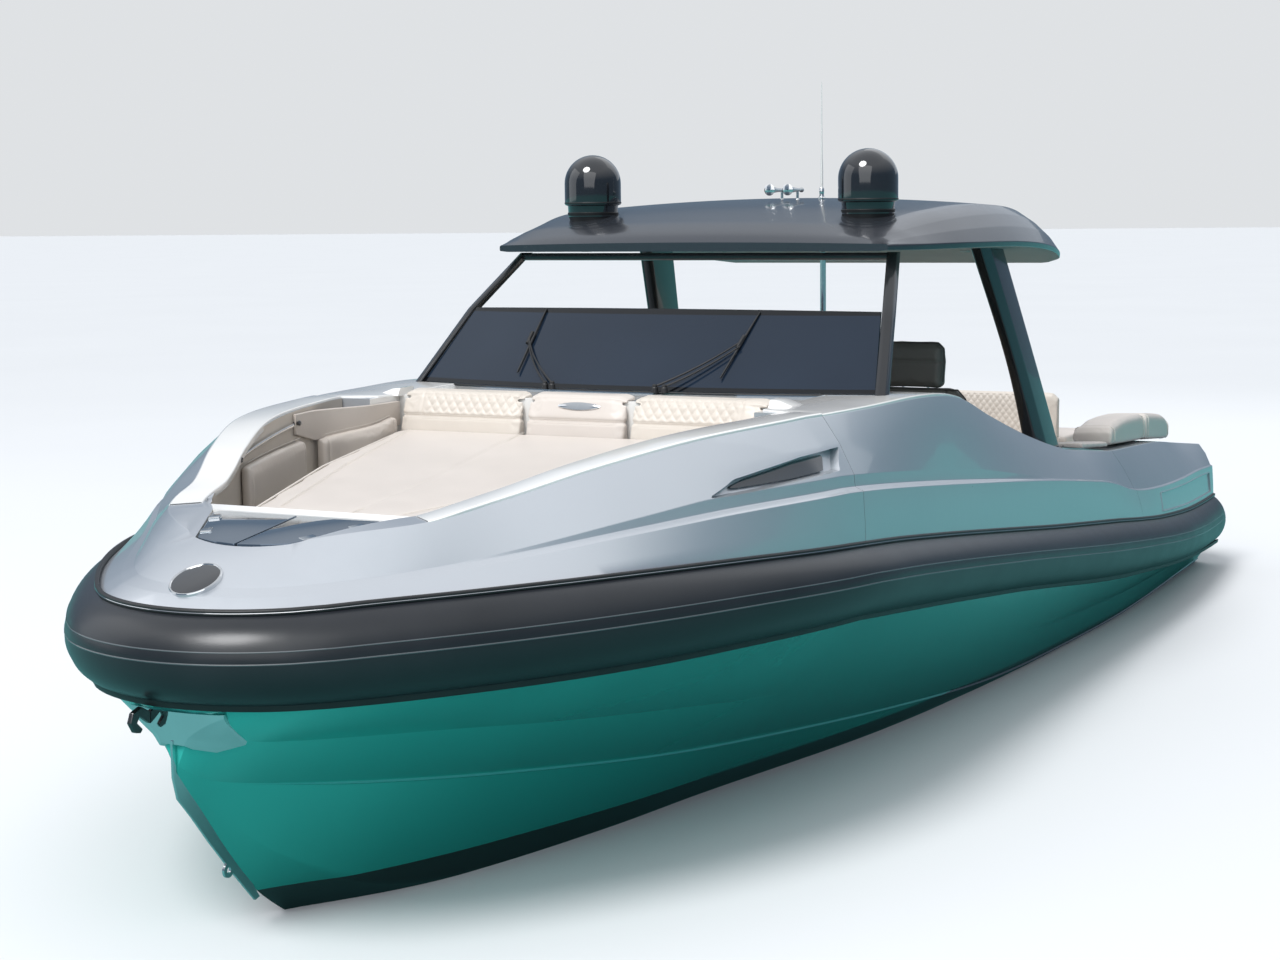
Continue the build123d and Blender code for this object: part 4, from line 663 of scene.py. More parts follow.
def arc_through(start, middle, end, count=16):
    """Points on the circle arc through three points, without its end point."""
    (ax, ay), (bx, by), (cx, cy) = start, middle, end
    d = 2 * (ax * (by - cy) + bx * (cy - ay) + cx * (ay - by))
    ux = ((ax**2 + ay**2) * (by - cy) + (bx**2 + by**2) * (cy - ay) + (cx**2 + cy**2) * (ay - by)) / d
    uy = ((ax**2 + ay**2) * (cx - bx) + (bx**2 + by**2) * (ax - cx) + (cx**2 + cy**2) * (bx - ax)) / d
    first, last = atan2(ay - uy, ax - ux), atan2(cy - uy, cx - ux)
    mid = atan2(by - uy, bx - ux)
    for turn in (0, 2 * pi, -2 * pi):
        low, high = min(first, last + turn), max(first, last + turn)
        if low <= mid <= high or low <= mid + 2 * pi <= high:
            last += turn
            break
    radius = hypot(ax - ux, ay - uy)
    angles = [first + (last - first) * i / count for i in range(count)]
    return [(ux + radius * cos(a), uy + radius * sin(a)) for a in angles]


def well_outline(slack=0.0):
    """Plan of the bow well, opened out by slack."""
    port = arc_through((5.0 + slack, 0.58 + slack), (3.95, 1.1 + slack), (2.77, 1.4 + slack))
    port += [(2.77, 1.4 + slack), (2.44 - slack, 1.4 + slack)]
    return port + [(x, -y) for x, y in reversed(port)]


def locker_outline(shrink=0.0):
    """Plan of the locker under the lids, made smaller by shrink."""
    nose = arc_through(
        (5.51 - shrink, -0.26 + shrink), (5.57 - shrink, 0), (5.51 - shrink, 0.26 - shrink), 12
    )
    return nose + [
        (5.51 - shrink, 0.26 - shrink), (5.085 + shrink, 0.5 - shrink), (5.085 + shrink, -0.5 + shrink)
    ]


lid_slope = (1.8 - 1.735) / (5.57 - 5.085)


def lid_top(x):
    """Height of the lids' top surface at length x, in metres."""
    return 1.8 - (x - 5.085) * lid_slope


def slab_rows(outline, top, thick, round_in=0.004):
    """Rows of a flat panel on a plan outline whose top follows a height, with rounded top edges."""
    middle = Vector((sum(x for x, y in outline) / len(outline), sum(y for x, y in outline) / len(outline)))
    rows = []
    for drop, inward in ((thick, 0), (round_in, 0), (round_in * 0.3, round_in * 0.3), (0, round_in)):
        row = []
        for x, y in outline:
            toward = (middle - Vector((x, y))).normalized() * inward
            row.append(Vector((x + toward.x, y + toward.y, top(x + toward.x) - drop)))
        rows.append(row)
    return rows


def lid_surround(made):
    """The space above the plane of the lids, with a bevel up to the deck around them."""
    rows = []
    for out, rise in ((0.012, 0.0004), (0.085, 0.05)):
        nose = arc_through((5.51 + out, -0.26 - out), (5.57 + out, 0), (5.51 + out, 0.26 + out), 12)
        nose += [(5.51 + out, 0.26 + out), (5.085, 0.505 + out), (4.95, 0.63 + out)]
        nose += [(4.95, -0.63 - out), (5.085, -0.505 - out)]
        rows.append([Vector((x, y, lid_top(x) + rise)) for x, y in nose])
    rows.append([point + Vector((0, 0, 0.3)) for point in rows[-1]])
    add_skin(made, rows)


cut_away(
    foredeck,
    [
        lambda made: add_prism(made, well_outline(), 0.9, 2.4),
        lambda made: add_prism(made, locker_outline(), 1.0, 2.4),
        lid_surround,
    ],
)

white_gelcoat = gloss("white_gelcoat", (0.86, 0.85, 0.83), (0.80, 0.79, 0.765), 0.16)
# the sill between the locker and the well, in the plane of the lids
sill_ends = [(5.002, 0.574), (5.0865, 0.497), (5.0865, -0.497), (5.002, -0.574)]
skinned(
    "locker_sill", slab_rows(sill_ends, lambda x: lid_top(x) + 0.0012, 0.016, 0.003), white_gelcoat,
    "white_gelcoat"
)


def joint_slant(z):
    """How far forward of its foot the slanted joint on the quarter leans, by height."""
    return (z - 1050) * 0.62 if z > 1050 else (z - 1050) * 0.3


for side, name in both_sides:
    rows = []
    between = [x for x in straight_lengths if quarter_start_x + 60 < x < wing_start_x - 60]
    for x in [wing_start_x - joint_gap] + between:
        lean = max(0, (-1900 - x) / 950)
        rows.append(flank_row(x, coaming_inset, side, lambda z: lean * joint_slant(z)))
    rows.append(flank_row(quarter_start_x + joint_gap, coaming_inset, side, joint_slant))
    skinned(f"wing_shell_{name}", rows, silver_paint, "silver_paint", replaced=[f"side_wing_{name}"])
    rows = [flank_row(quarter_start_x - joint_gap, coaming_inset, side, joint_slant)]
    for x in [x for x in straight_lengths if x < quarter_start_x - 60]:
        lean = max(0, (x + 3950) / 1100)
        rows.append(flank_row(x, coaming_inset, side, lambda z: lean * joint_slant(z)))
    skinned(f"quarter_shell_{name}", rows, silver_paint, "silver_paint", replaced=[f"quarter_{name}"])


def inside_outline(x, y, outline):
    """Whether a point of the plan lies inside an outline."""
    inside = False
    for (x1, y1), (x2, y2) in zip(outline, outline[1:] + outline[:1]):
        if (y1 > y) != (y2 > y) and x < x1 + (x2 - x1) * (y - y1) / (y2 - y1):
            inside = not inside
    return inside


def flank_point(x, z, depth, side):
    """A point on the foredeck's flank, set in by a depth, for a length and a height in mm."""
    crease, crease_z, ledge, rail, rail_z = row_at(edge_stations, x)[3:8]
    top = crease_z + ledge * 0.45 + shoulder_at(x)
    up = (z - top) / (rail_z - top)
    inset = crease + ledge + 6 + up * (rail - crease - ledge - 6) + depth
    return on_edge(x + edge_at(x)[1] * inset, inset, z, side)


# the pocket for the side window: x, z and corner radius of its outline
pocket_corners = [
    (4020, 1815, 30),
    (3760, 1882, 260),
    (3200, 1927, 80),
    (2784, 1940, 10),
    (2905, 1844, 20),
    (3310, 1836, 60),
]


def stepped(outline, step=60):
    """An outline with points added, so that no stretch of it is much longer than step."""
    fine = []
    for (x1, z1), (x2, z2) in zip(outline, outline[1:] + outline[:1]):
        count = max(1, round(hypot(x2 - x1, z2 - z1) / step))
        fine += [(x1 + (x2 - x1) * i / count, z1 + (z2 - z1) * i / count) for i in range(count)]
    return fine


def pocket_cutter(made, side):
    """The space that the side window's pocket takes out of the flank."""
    corners = stepped(rounded(pocket_corners, 4))
    floor_row = [flank_point(x, z, 45, side) for x, z in corners]
    wide = [(x, z - 6 + 15 * held((z - 1850) / 50)) for x, z in corners]
    rim_row = [flank_point(x, z, -16, side) for x, z in wide]
    add_skin(made, [floor_row, rim_row])
    bmesh.ops.triangulate(made, faces=made.faces)


cut_away(foredeck, [lambda made, s=side: pocket_cutter(made, s) for side in (1, -1)])
# the well's lining: beige upholstery, painted darker than the cream as painted shade
wall_lining_painted_shade = gloss("wall_lining_painted_shade", (0.60, 0.54, 0.47), (0.50, 0.445, 0.385), 0.45, 0.0, 0.0, 5.0, 0.0006)
# the locker's walls are white gelcoat, and the well's are lined in beige upholstery, painted darker than the
# cream as painted shade down in the well
foredeck.data.materials.append(white_gelcoat.material)
foredeck.data.materials.append(wall_lining_painted_shade.material)
for index, outline in ((2, well_outline(0.004)), (1, locker_outline(-0.004))):
    for face in foredeck.data.polygons:
        middle = face.center
        if abs(face.normal.z) < 0.5 and inside_outline(middle.x, middle.y, outline):
            face.material_index = index

window_glass = gloss("window_glass", (0.012, 0.018, 0.026), (0.006, 0.010, 0.016), 0.05, 0.0, 0.9)
window_corners = [
    (3830, 1842, 20), (3640, 1876, 200), (3200, 1914, 60), (2925, 1921, 12), (3010, 1850, 18),
    (3310, 1843, 30)
]
window_mesh = bmesh.new()
for side in (1, -1):
    glass_edge = stepped(rounded(window_corners, 4))
    rows = [[flank_point(x, z, depth, side) for x, z in glass_edge] for depth in (30, 43)]
    add_skin(window_mesh, rows)
bmesh.ops.triangulate(window_mesh, faces=[face for face in window_mesh.faces if len(face.verts) > 4])
finish_piece(window_mesh, "side_window_glass", window_glass, "tinted_glass", replaced=["side_windows"])


# Rail caps: bright white mouldings that cover the joint between flank and inner liner, screwed
# down from inside. The forward lengths end at the panel joint, and the wings' run on to the helm.
for side, name in both_sides:
    for start, end, part in ((5310, 2773, "forward"), (2766, 850, "aft")):
        rows = []
        for x in steps_between(start, end, 55):
            rail, rail_z, width, rise = row_at(edge_stations, x)[6:]
            taper = min(1, (start - x) / 160) if part == "forward" else min(1, (x - end) / 500)
            inner = rail + width
            if part == "aft":
                inner += (632 - rail - width) * min(1, (2766 - x) / 90)
            thick = (14 if part == "forward" else 9) * (0.35 + 0.65 * taper)
            outline = [
                (rail - 1, rail_z - 7, 2),
                (rail - 1, rail_z + thick - 5, 5),
                (rail + 10, rail_z + thick, 8),
                (inner - 2, rail_z + rise + thick, 6),
                (inner + 3, rail_z + rise + thick - 6, 3),
                (inner + 3, rail_z + rise - 22, 2),
                (inner - 4, rail_z + rise - 22, 2),
                (inner - 4, rail_z + rise + 3, 2),
                (rail + 5, rail_z + 3, 2),
                (rail + 5, rail_z - 7, 2),
            ]
            rows.append([on_edge(x, a, b, side) for a, b in rounded(outline, 2)])
        skinned(f"rail_cap_{part}_{name}", rows, white_gelcoat, "white_gelcoat",
                replaced=["rail_caps"] if part == "forward" else ())


# Locker lids in the nose: two gloss panels over the chain locker, split on the centreline,
# each on two polished hinges along its outboard edge.
lid_gloss = gloss("lid_gloss", (0.13, 0.17, 0.22), (0.095, 0.13, 0.175), 0.05, 0.7, 0.7)
hinged_edge_start = (5.128, 0.466)
hinged_edge_run = (0.372, -0.21)
hinge_turn = -atan2(0.4917, 0.8707)
hinge_plate = [(-0.034, 0.0), (0.034, 0.0), (0.034, -0.05), (-0.034, -0.05)]
for side, name in both_sides:
    corners = [
        (5.0935, 0.006, 0.01), (5.0935, 0.445, 0.02), (5.128, 0.466, 0.01), (5.500, 0.256, 0.03),
        (5.545, 0.13, 0.2), (5.5615, 0.006, 0.01)
    ]
    outline = [(x, y * side) for x, y in rounded(corners, 4)]
    skinned(
        f"locker_lid_{name}_panel", slab_rows(outline, lid_top, 0.028), lid_gloss, "dark_gloss",
        f"lid_{name}", replaced=[f"locker_lid_{name}"]
    )
    for along in (0.22, 0.78):
        x, y = (start + along * run for start, run in zip(hinged_edge_start, hinged_edge_run))
        outline = []
        for a, b in hinge_plate:
            px = x + a * cos(hinge_turn) - b * sin(hinge_turn)
            py = y + a * sin(hinge_turn) + b * cos(hinge_turn)
            outline.append((px, py * side))
        skinned(
            f"lid_hinge_{name}_{int(along * 100)}",
            slab_rows(outline, lambda at: lid_top(at) + 0.004, 0.005, 0.0015), stainless, "stainless",
            f"lid_{name}"
        )


# Badge in the nose: a plain domed disc of black resin in a turned and polished stainless ring,
# glued flush into the moulding.
def add_lathe(mesh_maker, profile, centre, axis=(0, 0, 1), count=40):
    """A turned shape: its profile is (radius, height) pairs along an axis."""
    up = Vector(axis).normalized()
    right = up.orthogonal().normalized()
    ahead = up.cross(right)
    rows = []
    for radius, height in profile:
        row = []
        for i in range(count):
            angle = 2 * pi * i / count
            reach = right * cos(angle) + ahead * sin(angle)
            row.append(Vector(centre) + reach * max(radius, 1e-5) + up * height)
        rows.append(row)
    add_skin(mesh_maker, rows)


def turned(name, profile, centre, axis, count, finish, slot, **options):
    """A piece made of one turned shape."""
    made = bmesh.new()
    add_lathe(made, profile, centre, axis, count)
    finish_piece(made, name, finish, slot, **options)


black_gloss = gloss("black_gloss", (0.016, 0.018, 0.022), (0.009, 0.010, 0.013), 0.07, 0.0, 0.9)
badge_place = (5.8335, 0, 1.6175)
badge_tilt = (0.44, 0, 0.90)
turned(
    "bow_badge",
    [(0.0, -0.02), (0.108, -0.02), (0.108, 0.006), (0.09, 0.009), (0.05, 0.012), (0.0, 0.013)],
    badge_place, badge_tilt, 56, black_gloss, "dark_gloss"
)
turned(
    "bow_badge_ring",
    [(0.108, -0.02), (0.119, -0.02), (0.119, 0.006), (0.116, 0.010), (0.111, 0.010), (0.108, 0.006)],
    badge_place, badge_tilt, 56, stainless, "stainless"
)


# Bow sunbed: one foam pad on a plinth, covered in pale marine fabric with sewn seams and a
# piped front edge. The stuffing crowns it a little between its seams.
def leather(name, light, dark, grain=0.0005, weave=420.0, sheen=0.42):
    """Coated upholstery cloth: soft drift of colour, a fine grain and faint handling marks."""
    made = Finish(name, sheen, 0.0, 0.08)
    made.set("Coat Roughness", 0.4)
    drift = made.noise(4.5, 4.0)
    fine = made.noise(weave, 3.0)
    made.colour(made.blend(drift * 0.75 + fine * 0.35 - 0.05, dark, light))
    made.set("Roughness", sheen - 0.08 + drift * 0.16)
    made.bump(fine, grain, 0.7)
    made.bump(made.noise(22, 3.0), 0.002, 0.25)
    return made


def swell(piece, cap, voxel=0.013, pressure=4.0, rests_on=0.0):
    """Stuffs a pad: an even mesh, air pressure on cloth, and a cap on how far it may grow.
    Points within rests_on of its lowest point stay down."""
    modifier = piece.modifiers.new("remesh", "REMESH")
    modifier.mode = "VOXEL"
    modifier.voxel_size = voxel
    apply_modifiers(piece)
    rest = [vert.co.copy() for vert in piece.data.vertices]
    cloth = piece.modifiers.new("stuffing", "CLOTH")
    cloth.settings.quality = 3
    cloth.settings.mass = 0.3
    cloth.settings.use_pressure = True
    cloth.settings.uniform_pressure_force = pressure
    cloth.settings.effector_weights.gravity = 0
    cloth.collision_settings.use_collision = False
    for step in range(1, 21):
        bpy.context.scene.frame_set(step)
    apply_modifiers(piece)
    floor_z = min(point.z for point in rest) + rests_on
    for vert, start in zip(piece.data.vertices, rest):
        move = vert.co - start
        if move.length > cap:
            move = move.normalized() * cap
        if rests_on and start.z < floor_z:
            move.z = 0
        vert.co = start + move
    bpy.context.scene.frame_set(1)
    modifier = piece.modifiers.new("smooth", "SUBSURF")
    modifier.levels = 1
    modifier.render_levels = 1
    apply_modifiers(piece)
    piece.data.shade_smooth()


def soft_piece(
    name, rows, finish, slot, cap=0.008, voxel=0.013, body="boat", replaced=(), rests_on=0.0
):
    """A stuffed piece from its slightly smaller starting form."""
    piece = skinned(name, rows, finish, slot, body, replaced=replaced)
    swell(piece, cap, voxel, rests_on=rests_on)
    piece.data.materials.clear()
    piece.data.materials.append(finish.material)
    return piece


def press_in(piece, depth_at):
    """Moves each point of a pad inwards, by what a function of its place and normal says."""
    normals = [vert.normal.copy() for vert in piece.data.vertices]
    for vert, normal in zip(piece.data.vertices, normals):
        vert.co -= normal * depth_at(vert.co, normal)
    piece.data.update()


def press_on_top(piece, depth_at):
    """Presses a pad in on its upper face only."""
    press_in(piece, lambda place, normal: depth_at(place) if normal.z > 0.4 else 0.0)


def seam_depth(distance, width=0.011, depth=0.006):
    """Depth of a sewn seam at a distance from its line."""
    return depth * exp(-((distance / width) ** 2))


def line_distance(x, y, points):
    """Distance in plan from a line through points."""
    best = 9.0
    for (ax, ay), (bx, by) in zip(points, points[1:]):
        along = ((x - ax) * (bx - ax) + (y - ay) * (by - ay)) / ((bx - ax) ** 2 + (by - ay) ** 2)
        along = max(0, min(1, along))
        best = min(best, hypot(x - ax - along * (bx - ax), y - ay - along * (by - ay)))
    return best


def add_tube(mesh_maker, points, radius, sides=8, closed=False):
    """A round tube along points, with rings square to its run."""
    points = [Vector(point) for point in points]
    count = len(points)
    rows = []
    side_way = None
    for i, point in enumerate(points):
        before = points[i - 1] if i or closed else point
        after = points[(i + 1) % count] if i < count - 1 or closed else point
        run = (after - before).normalized()
        if side_way is None:
            side_way = run.orthogonal().normalized()
        side_way = (side_way - run * side_way.dot(run)).normalized()
        up = run.cross(side_way)
        size = radius(i / max(count - 1, 1)) if callable(radius) else radius
        turns = [2 * pi * k / sides for k in range(sides)]
        rows.append([point + (side_way * cos(turn) + up * sin(turn)) * size for turn in turns])
    if closed:
        rows.append(rows[0])
    add_skin(mesh_maker, rows, caps=not closed)


# one tree makes every row of like small things: stitches, lamps, switches and bolts
def repeat_tree():
    """A tree that sets turned pieces along a path, either along it or on a fixed axis."""
    tree = bpy.data.node_groups.new("row_of_pieces", "GeometryNodeTree")
    tree.interface.new_socket("Geometry", in_out="INPUT", socket_type="NodeSocketGeometry")
    for label, kind in (
        ("Spacing", "NodeSocketFloat"),
        ("Radius", "NodeSocketFloat"),
        ("Length", "NodeSocketFloat"),
        ("Along path", "NodeSocketBool"),
        ("Axis", "NodeSocketVector"),
        ("Finish", "NodeSocketMaterial"),
    ):
        tree.interface.new_socket(label, in_out="INPUT", socket_type=kind)
    tree.interface.new_socket("Geometry", in_out="OUTPUT", socket_type="NodeSocketGeometry")
    new = tree.nodes.new
    given, made = new("NodeGroupInput").outputs, new("NodeGroupOutput")
    path = new("GeometryNodeMeshToCurve")
    points = new("GeometryNodeCurveToPoints")
    points.mode = "LENGTH"
    way = new("GeometryNodeSwitch")
    way.input_type = "VECTOR"
    turn = new("FunctionNodeAlignRotationToVector")
    turn.axis = "Z"
    shape = new("GeometryNodeMeshCylinder")
    shape.inputs["Vertices"].default_value = 10
    place = new("GeometryNodeInstanceOnPoints")
    real = new("GeometryNodeRealizeInstances")
    paint = new("GeometryNodeSetMaterial")
    for output, step, socket in (
        (given["Geometry"], path, "Mesh"),
        (path.outputs["Curve"], points, "Curve"),
        (given["Spacing"], points, "Length"),
        (given["Along path"], way, "Switch"),
        (given["Axis"], way, "False"),
        (points.outputs["Tangent"], way, "True"),
        (way.outputs["Output"], turn, "Vector"),
        (given["Radius"], shape, "Radius"),
        (given["Length"], shape, "Depth"),
        (points.outputs["Points"], place, "Points"),
        (shape.outputs["Mesh"], place, "Instance"),
        (turn.outputs["Rotation"], place, "Rotation"),
        (place.outputs["Instances"], real, "Geometry"),
        (real.outputs["Geometry"], paint, "Geometry"),
        (given["Finish"], paint, "Material"),
        (paint.outputs["Geometry"], made, "Geometry"),
    ):
        tree.links.new(output, step.inputs[socket])
    return tree


row_tree = repeat_tree()


def row_of(name, paths, spacing, radius, length, finish, axis=None, body="boat"):
    """A row of small turned pieces along paths: on an axis, or along the path if none is given."""
    path_mesh = bmesh.new()
    for path in paths:
        verts = [path_mesh.verts.new(point) for point in path]
        for first, second in zip(verts, verts[1:]):
            path_mesh.edges.new((first, second))
    piece = new_object(name, path_mesh)
    modifier = piece.modifiers.new("row", "NODES")
    modifier.node_group = row_tree
    values = {
        "Spacing": spacing,
        "Radius": radius,
        "Length": length,
        "Along path": axis is None,
        "Axis": axis or (0.0, 0.0, 1.0),
        "Finish": finish.material,
    }
    for item in row_tree.interface.items_tree:
        if item.in_out == "INPUT" and item.name in values:
            modifier[item.identifier] = values[item.name]
    apply_modifiers(piece)
    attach(piece, body)
    return piece


cream = leather("cream_upholstery", (0.68, 0.62, 0.57), (0.59, 0.53, 0.48))
# cream_shade is the cream upholstery painted darker: painted shade for the pads and lining down in the well
cream_shade = leather("cream_upholstery_painted_shade", (0.60, 0.54, 0.485), (0.50, 0.445, 0.395))
thread = gloss("thread", (0.80, 0.76, 0.70), (0.68, 0.63, 0.57), 0.6, 0.0, 0.0, 60.0)


def stitch_rows(name, paths, body="boat"):
    """Sewn stitches of thread along paths."""
    row_of(name, paths, 0.011, 0.0013, 0.006, thread, body=body)


sunbed_slope = (1.930 - 1.772) / (4.935 - 2.545)


def sunbed_top(x):
    """Height of the sunbed's top at length x."""
    return 1.772 + (4.935 - x) * sunbed_slope


sunbed_corners = [(4.927, 0.447, 0.07), (3.685, 0.877, 0.6), (2.553, 1.12, 0.07)]
sunbed_corners += [(x, -y, radius) for x, y, radius in reversed(sunbed_corners)]
sunbed_plan = [tuple(point) for point in rounded(sunbed_corners, 6)]
sunbed = soft_piece(
    "sunbed_pad", slab_rows(sunbed_plan, lambda x: sunbed_top(x) - 0.007, 0.100, 0.024), cream,
    "cream_leather", 0.009, 0.028, replaced=["sunbed_cushion"], rests_on=0.004
)
sunbed_seams = [
    [(2.56, -0.30), (3.36, -0.13), (4.0, 0.0), (4.92, 0.10)],
    [(2.62, -1.03), (3.70, -0.72), (4.90, -0.30)],
    [(2.62, 1.03), (3.70, 0.72), (4.90, 0.30)],
]


def sunbed_press(place, normal):
    """The sunbed's seams are sewn down on its upper face."""
    if normal.z < 0.5:
        return 0.0
    return max(seam_depth(line_distance(place.x, place.y, seam), 0.016, 0.005) for seam in sunbed_seams)


press_in(sunbed, sunbed_press)
stitch_paths = []
for seam in sunbed_seams:
    for shift in (-0.007, 0.007):
        path = []
        for (ax, ay), (bx, by) in zip(seam, seam[1:]):
            path += [(ax + (bx - ax) * k / 8, ay + (by - ay) * k / 8 + shift) for k in range(8)]
        stitch_paths.append([(x, y, sunbed_top(x) - 0.0035) for x, y in path])
stitch_rows("sunbed_stitches", stitch_paths)
piping_mesh = bmesh.new()
edge = [Vector((x + (0.006 if x > 4.8 else 0), y * 1.004, sunbed_top(x) - 0.024)) for x, y in sunbed_plan]
add_tube(piping_mesh, edge, 0.0055, 6, closed=True)
finish_piece(piping_mesh, "sunbed_piping", thread, "cream_leather")


# Backrest across the aft end of the well: three stuffed lengths with a roll along their foot.
# The outer two are quilted in diamonds, and the middle one carries a bare polished plate.
back_section = [
    (2.524, 1.808, 0.02),
    (2.526, 1.90, 0.05),
    (2.498, 2.02, 0.10),
    (2.448, 2.138, 0.045),
    (2.340, 2.150, 0.018),
    (2.340, 2.122, 0.008),
    (2.452, 2.122, 0.004),
    (2.452, 1.808, 0.01),
]
roll_z = 1.995


def quilt_ridge(u, v):
    """Height of quilting between its sewn lines, from 0 on a line to 1 in a diamond's middle."""
    return abs(sin(pi * (u + v)) * sin(pi * (u - v))) ** 0.5


def quilted(base_name, along, up, start, end, across, light, dark):
    """Upholstery whose colour and bump follow the same diamonds as the mesh."""
    made = leather(base_name, light, dark)
    axes = dict(zip("xyz", made.axes()))
    u = axes[along] / across[0]
    v = axes[up] / across[1]
    near = ((u + v).fraction() - 0.5).absolute().at_least(((u - v).fraction() - 0.5).absolute())
    inside = (axes[up] > start) * (axes[up] < end)
    line = (near > 0.475) * inside
    base = made.linked("Base Color")
    made.colour(made.blend(line * 0.45, base, dark))
    made.bump((near * near * near * near) * inside, -0.003, 0.6)
    return made


quilt_size = (0.058, 0.072)
quilt_cream = quilted(
    "quilted_upholstery", "y", "z", 2.005, 2.149, quilt_size, (0.72, 0.66, 0.59), (0.58, 0.52, 0.455)
)
for part, (start, end) in enumerate(((-1.172, -0.346), (-0.324, 0.324), (0.346, 1.172))):
    rows = []
    outline = rounded(back_section, 3)
    middle = Vector((2.45, 2.0))
    for at in steps_between(start, end, 0.05):
        edge_gap = min(at - start, end - at)
        shrink = 1 - 0.10 * max(0, 1 - edge_gap / 0.03) ** 2
        rows.append([
            Vector((middle.x + (a - middle.x) * shrink, at, middle.y + (b - middle.y) * shrink))
            for a, b in outline
        ])
    plain = part == 1
    back = soft_piece(
        f"bow_backrest_{('starboard', 'middle', 'port')[part]}", rows, cream if plain else quilt_cream,
        "cream_leather", 0.009, 0.0125, replaced=["bow_backrest"] if plain else ()
    )

    def back_press(place, normal):
        """The roll's seam, the end seams and, on the outer lengths, the diamonds."""
        depth = 0.0
        if place.x > 2.44:
            depth = seam_depth(place.z - roll_z, 0.012, 0.010)
        outer_end = start if start < -1 else end
        if not plain and place.z > roll_z + 0.012 and place.x > 2.36:
            from_end = abs(place.y - outer_end)
            hold = held((from_end - 0.16) / 0.04) * held((place.z - roll_z - 0.012) / 0.02)
            depth += 0.008 * hold * (1 - quilt_ridge(place.y / quilt_size[0], place.z / quilt_size[1]))
            depth += seam_depth(from_end - 0.15, 0.008, 0.005)
        return depth

    press_in(back, back_press)
    stitches = [
        [(2.519, y, roll_z + lift) for y in steps_between(start + 0.03, end - 0.03, 0.1)]
        for lift in (-0.009, 0.009)
    ]
    stitch_rows(f"bow_backrest_stitches_{part}", stitches)

plate_place = Vector((2.487, 0.02, 2.078))
plate_up = Vector((-0.39, 0, 0.92))
plate_out = Vector((0.92, 0, 0.39))
plate_rows = []
for lift, size in ((-0.006, 1.0), (0.001, 1.0), (0.004, 0.92), (0.0045, 0.5)):
    row = []
    for k in range(40):
        turn = 2 * pi * k / 40
        across = 0.135 * size * cos(turn) * (0.82 + 0.18 * abs(cos(turn)))
        middle = plate_place + plate_out * lift
        row.append(middle + Vector((0, across, 0)) + plate_up * 0.024 * size * sin(turn))
    plate_rows.append(row)
skinned("backrest_plate", plate_rows, stainless, "stainless")
for side, name in both_sides:
    rows = []
    for y, tall in ((1.186, 0.05), (1.24, 0.045), (1.33, 0.012)):
        outline = [
            (2.33, 2.10, 0.004), (2.33, 2.10 + tall, 0.01), (2.47, 2.098 + tall, 0.012),
            (2.50, 2.10, 0.004)
        ]
        rows.append(long_ring(side * y, outline))
    skinned(f"backrest_corner_{name}", rows, white_gelcoat, "white_gelcoat")


# Side cushions of the well, against its lined walls: two a side, each a stuffed pad with a
# sewn panel line, and a polished rod with end knobs over the forward one.
wall_centre = (1.9696, -4.2191)
wall_radius = 5.6758


def well_wall(x):
    """Half-breadth of the well's wall at length x."""
    return wall_centre[1] + sqrt(wall_radius**2 - (x - wall_centre[0]) ** 2)


def rod_height(x):
    """Height of the polished rod's middle at length x."""
    return 1.937 + (4.325 - x) * (2.016 - 1.937) / 0.887


# the lining above the cushions: x, half-breadth or 0 for the wall's own, height of its lower edge
lining_rows = [
    (3.41, 0, 1.96),
    (3.28, 0, 1.93),
    (3.15, 0, 1.90),
    (3.0, 1.293, 1.90),
    (2.88, 1.244, 1.90),
    (2.785, 1.215, 1.90),
    (2.66, 1.212, 1.91),
    (2.56, 1.211, 1.92),
    (2.47, 1.211, 1.93),
]
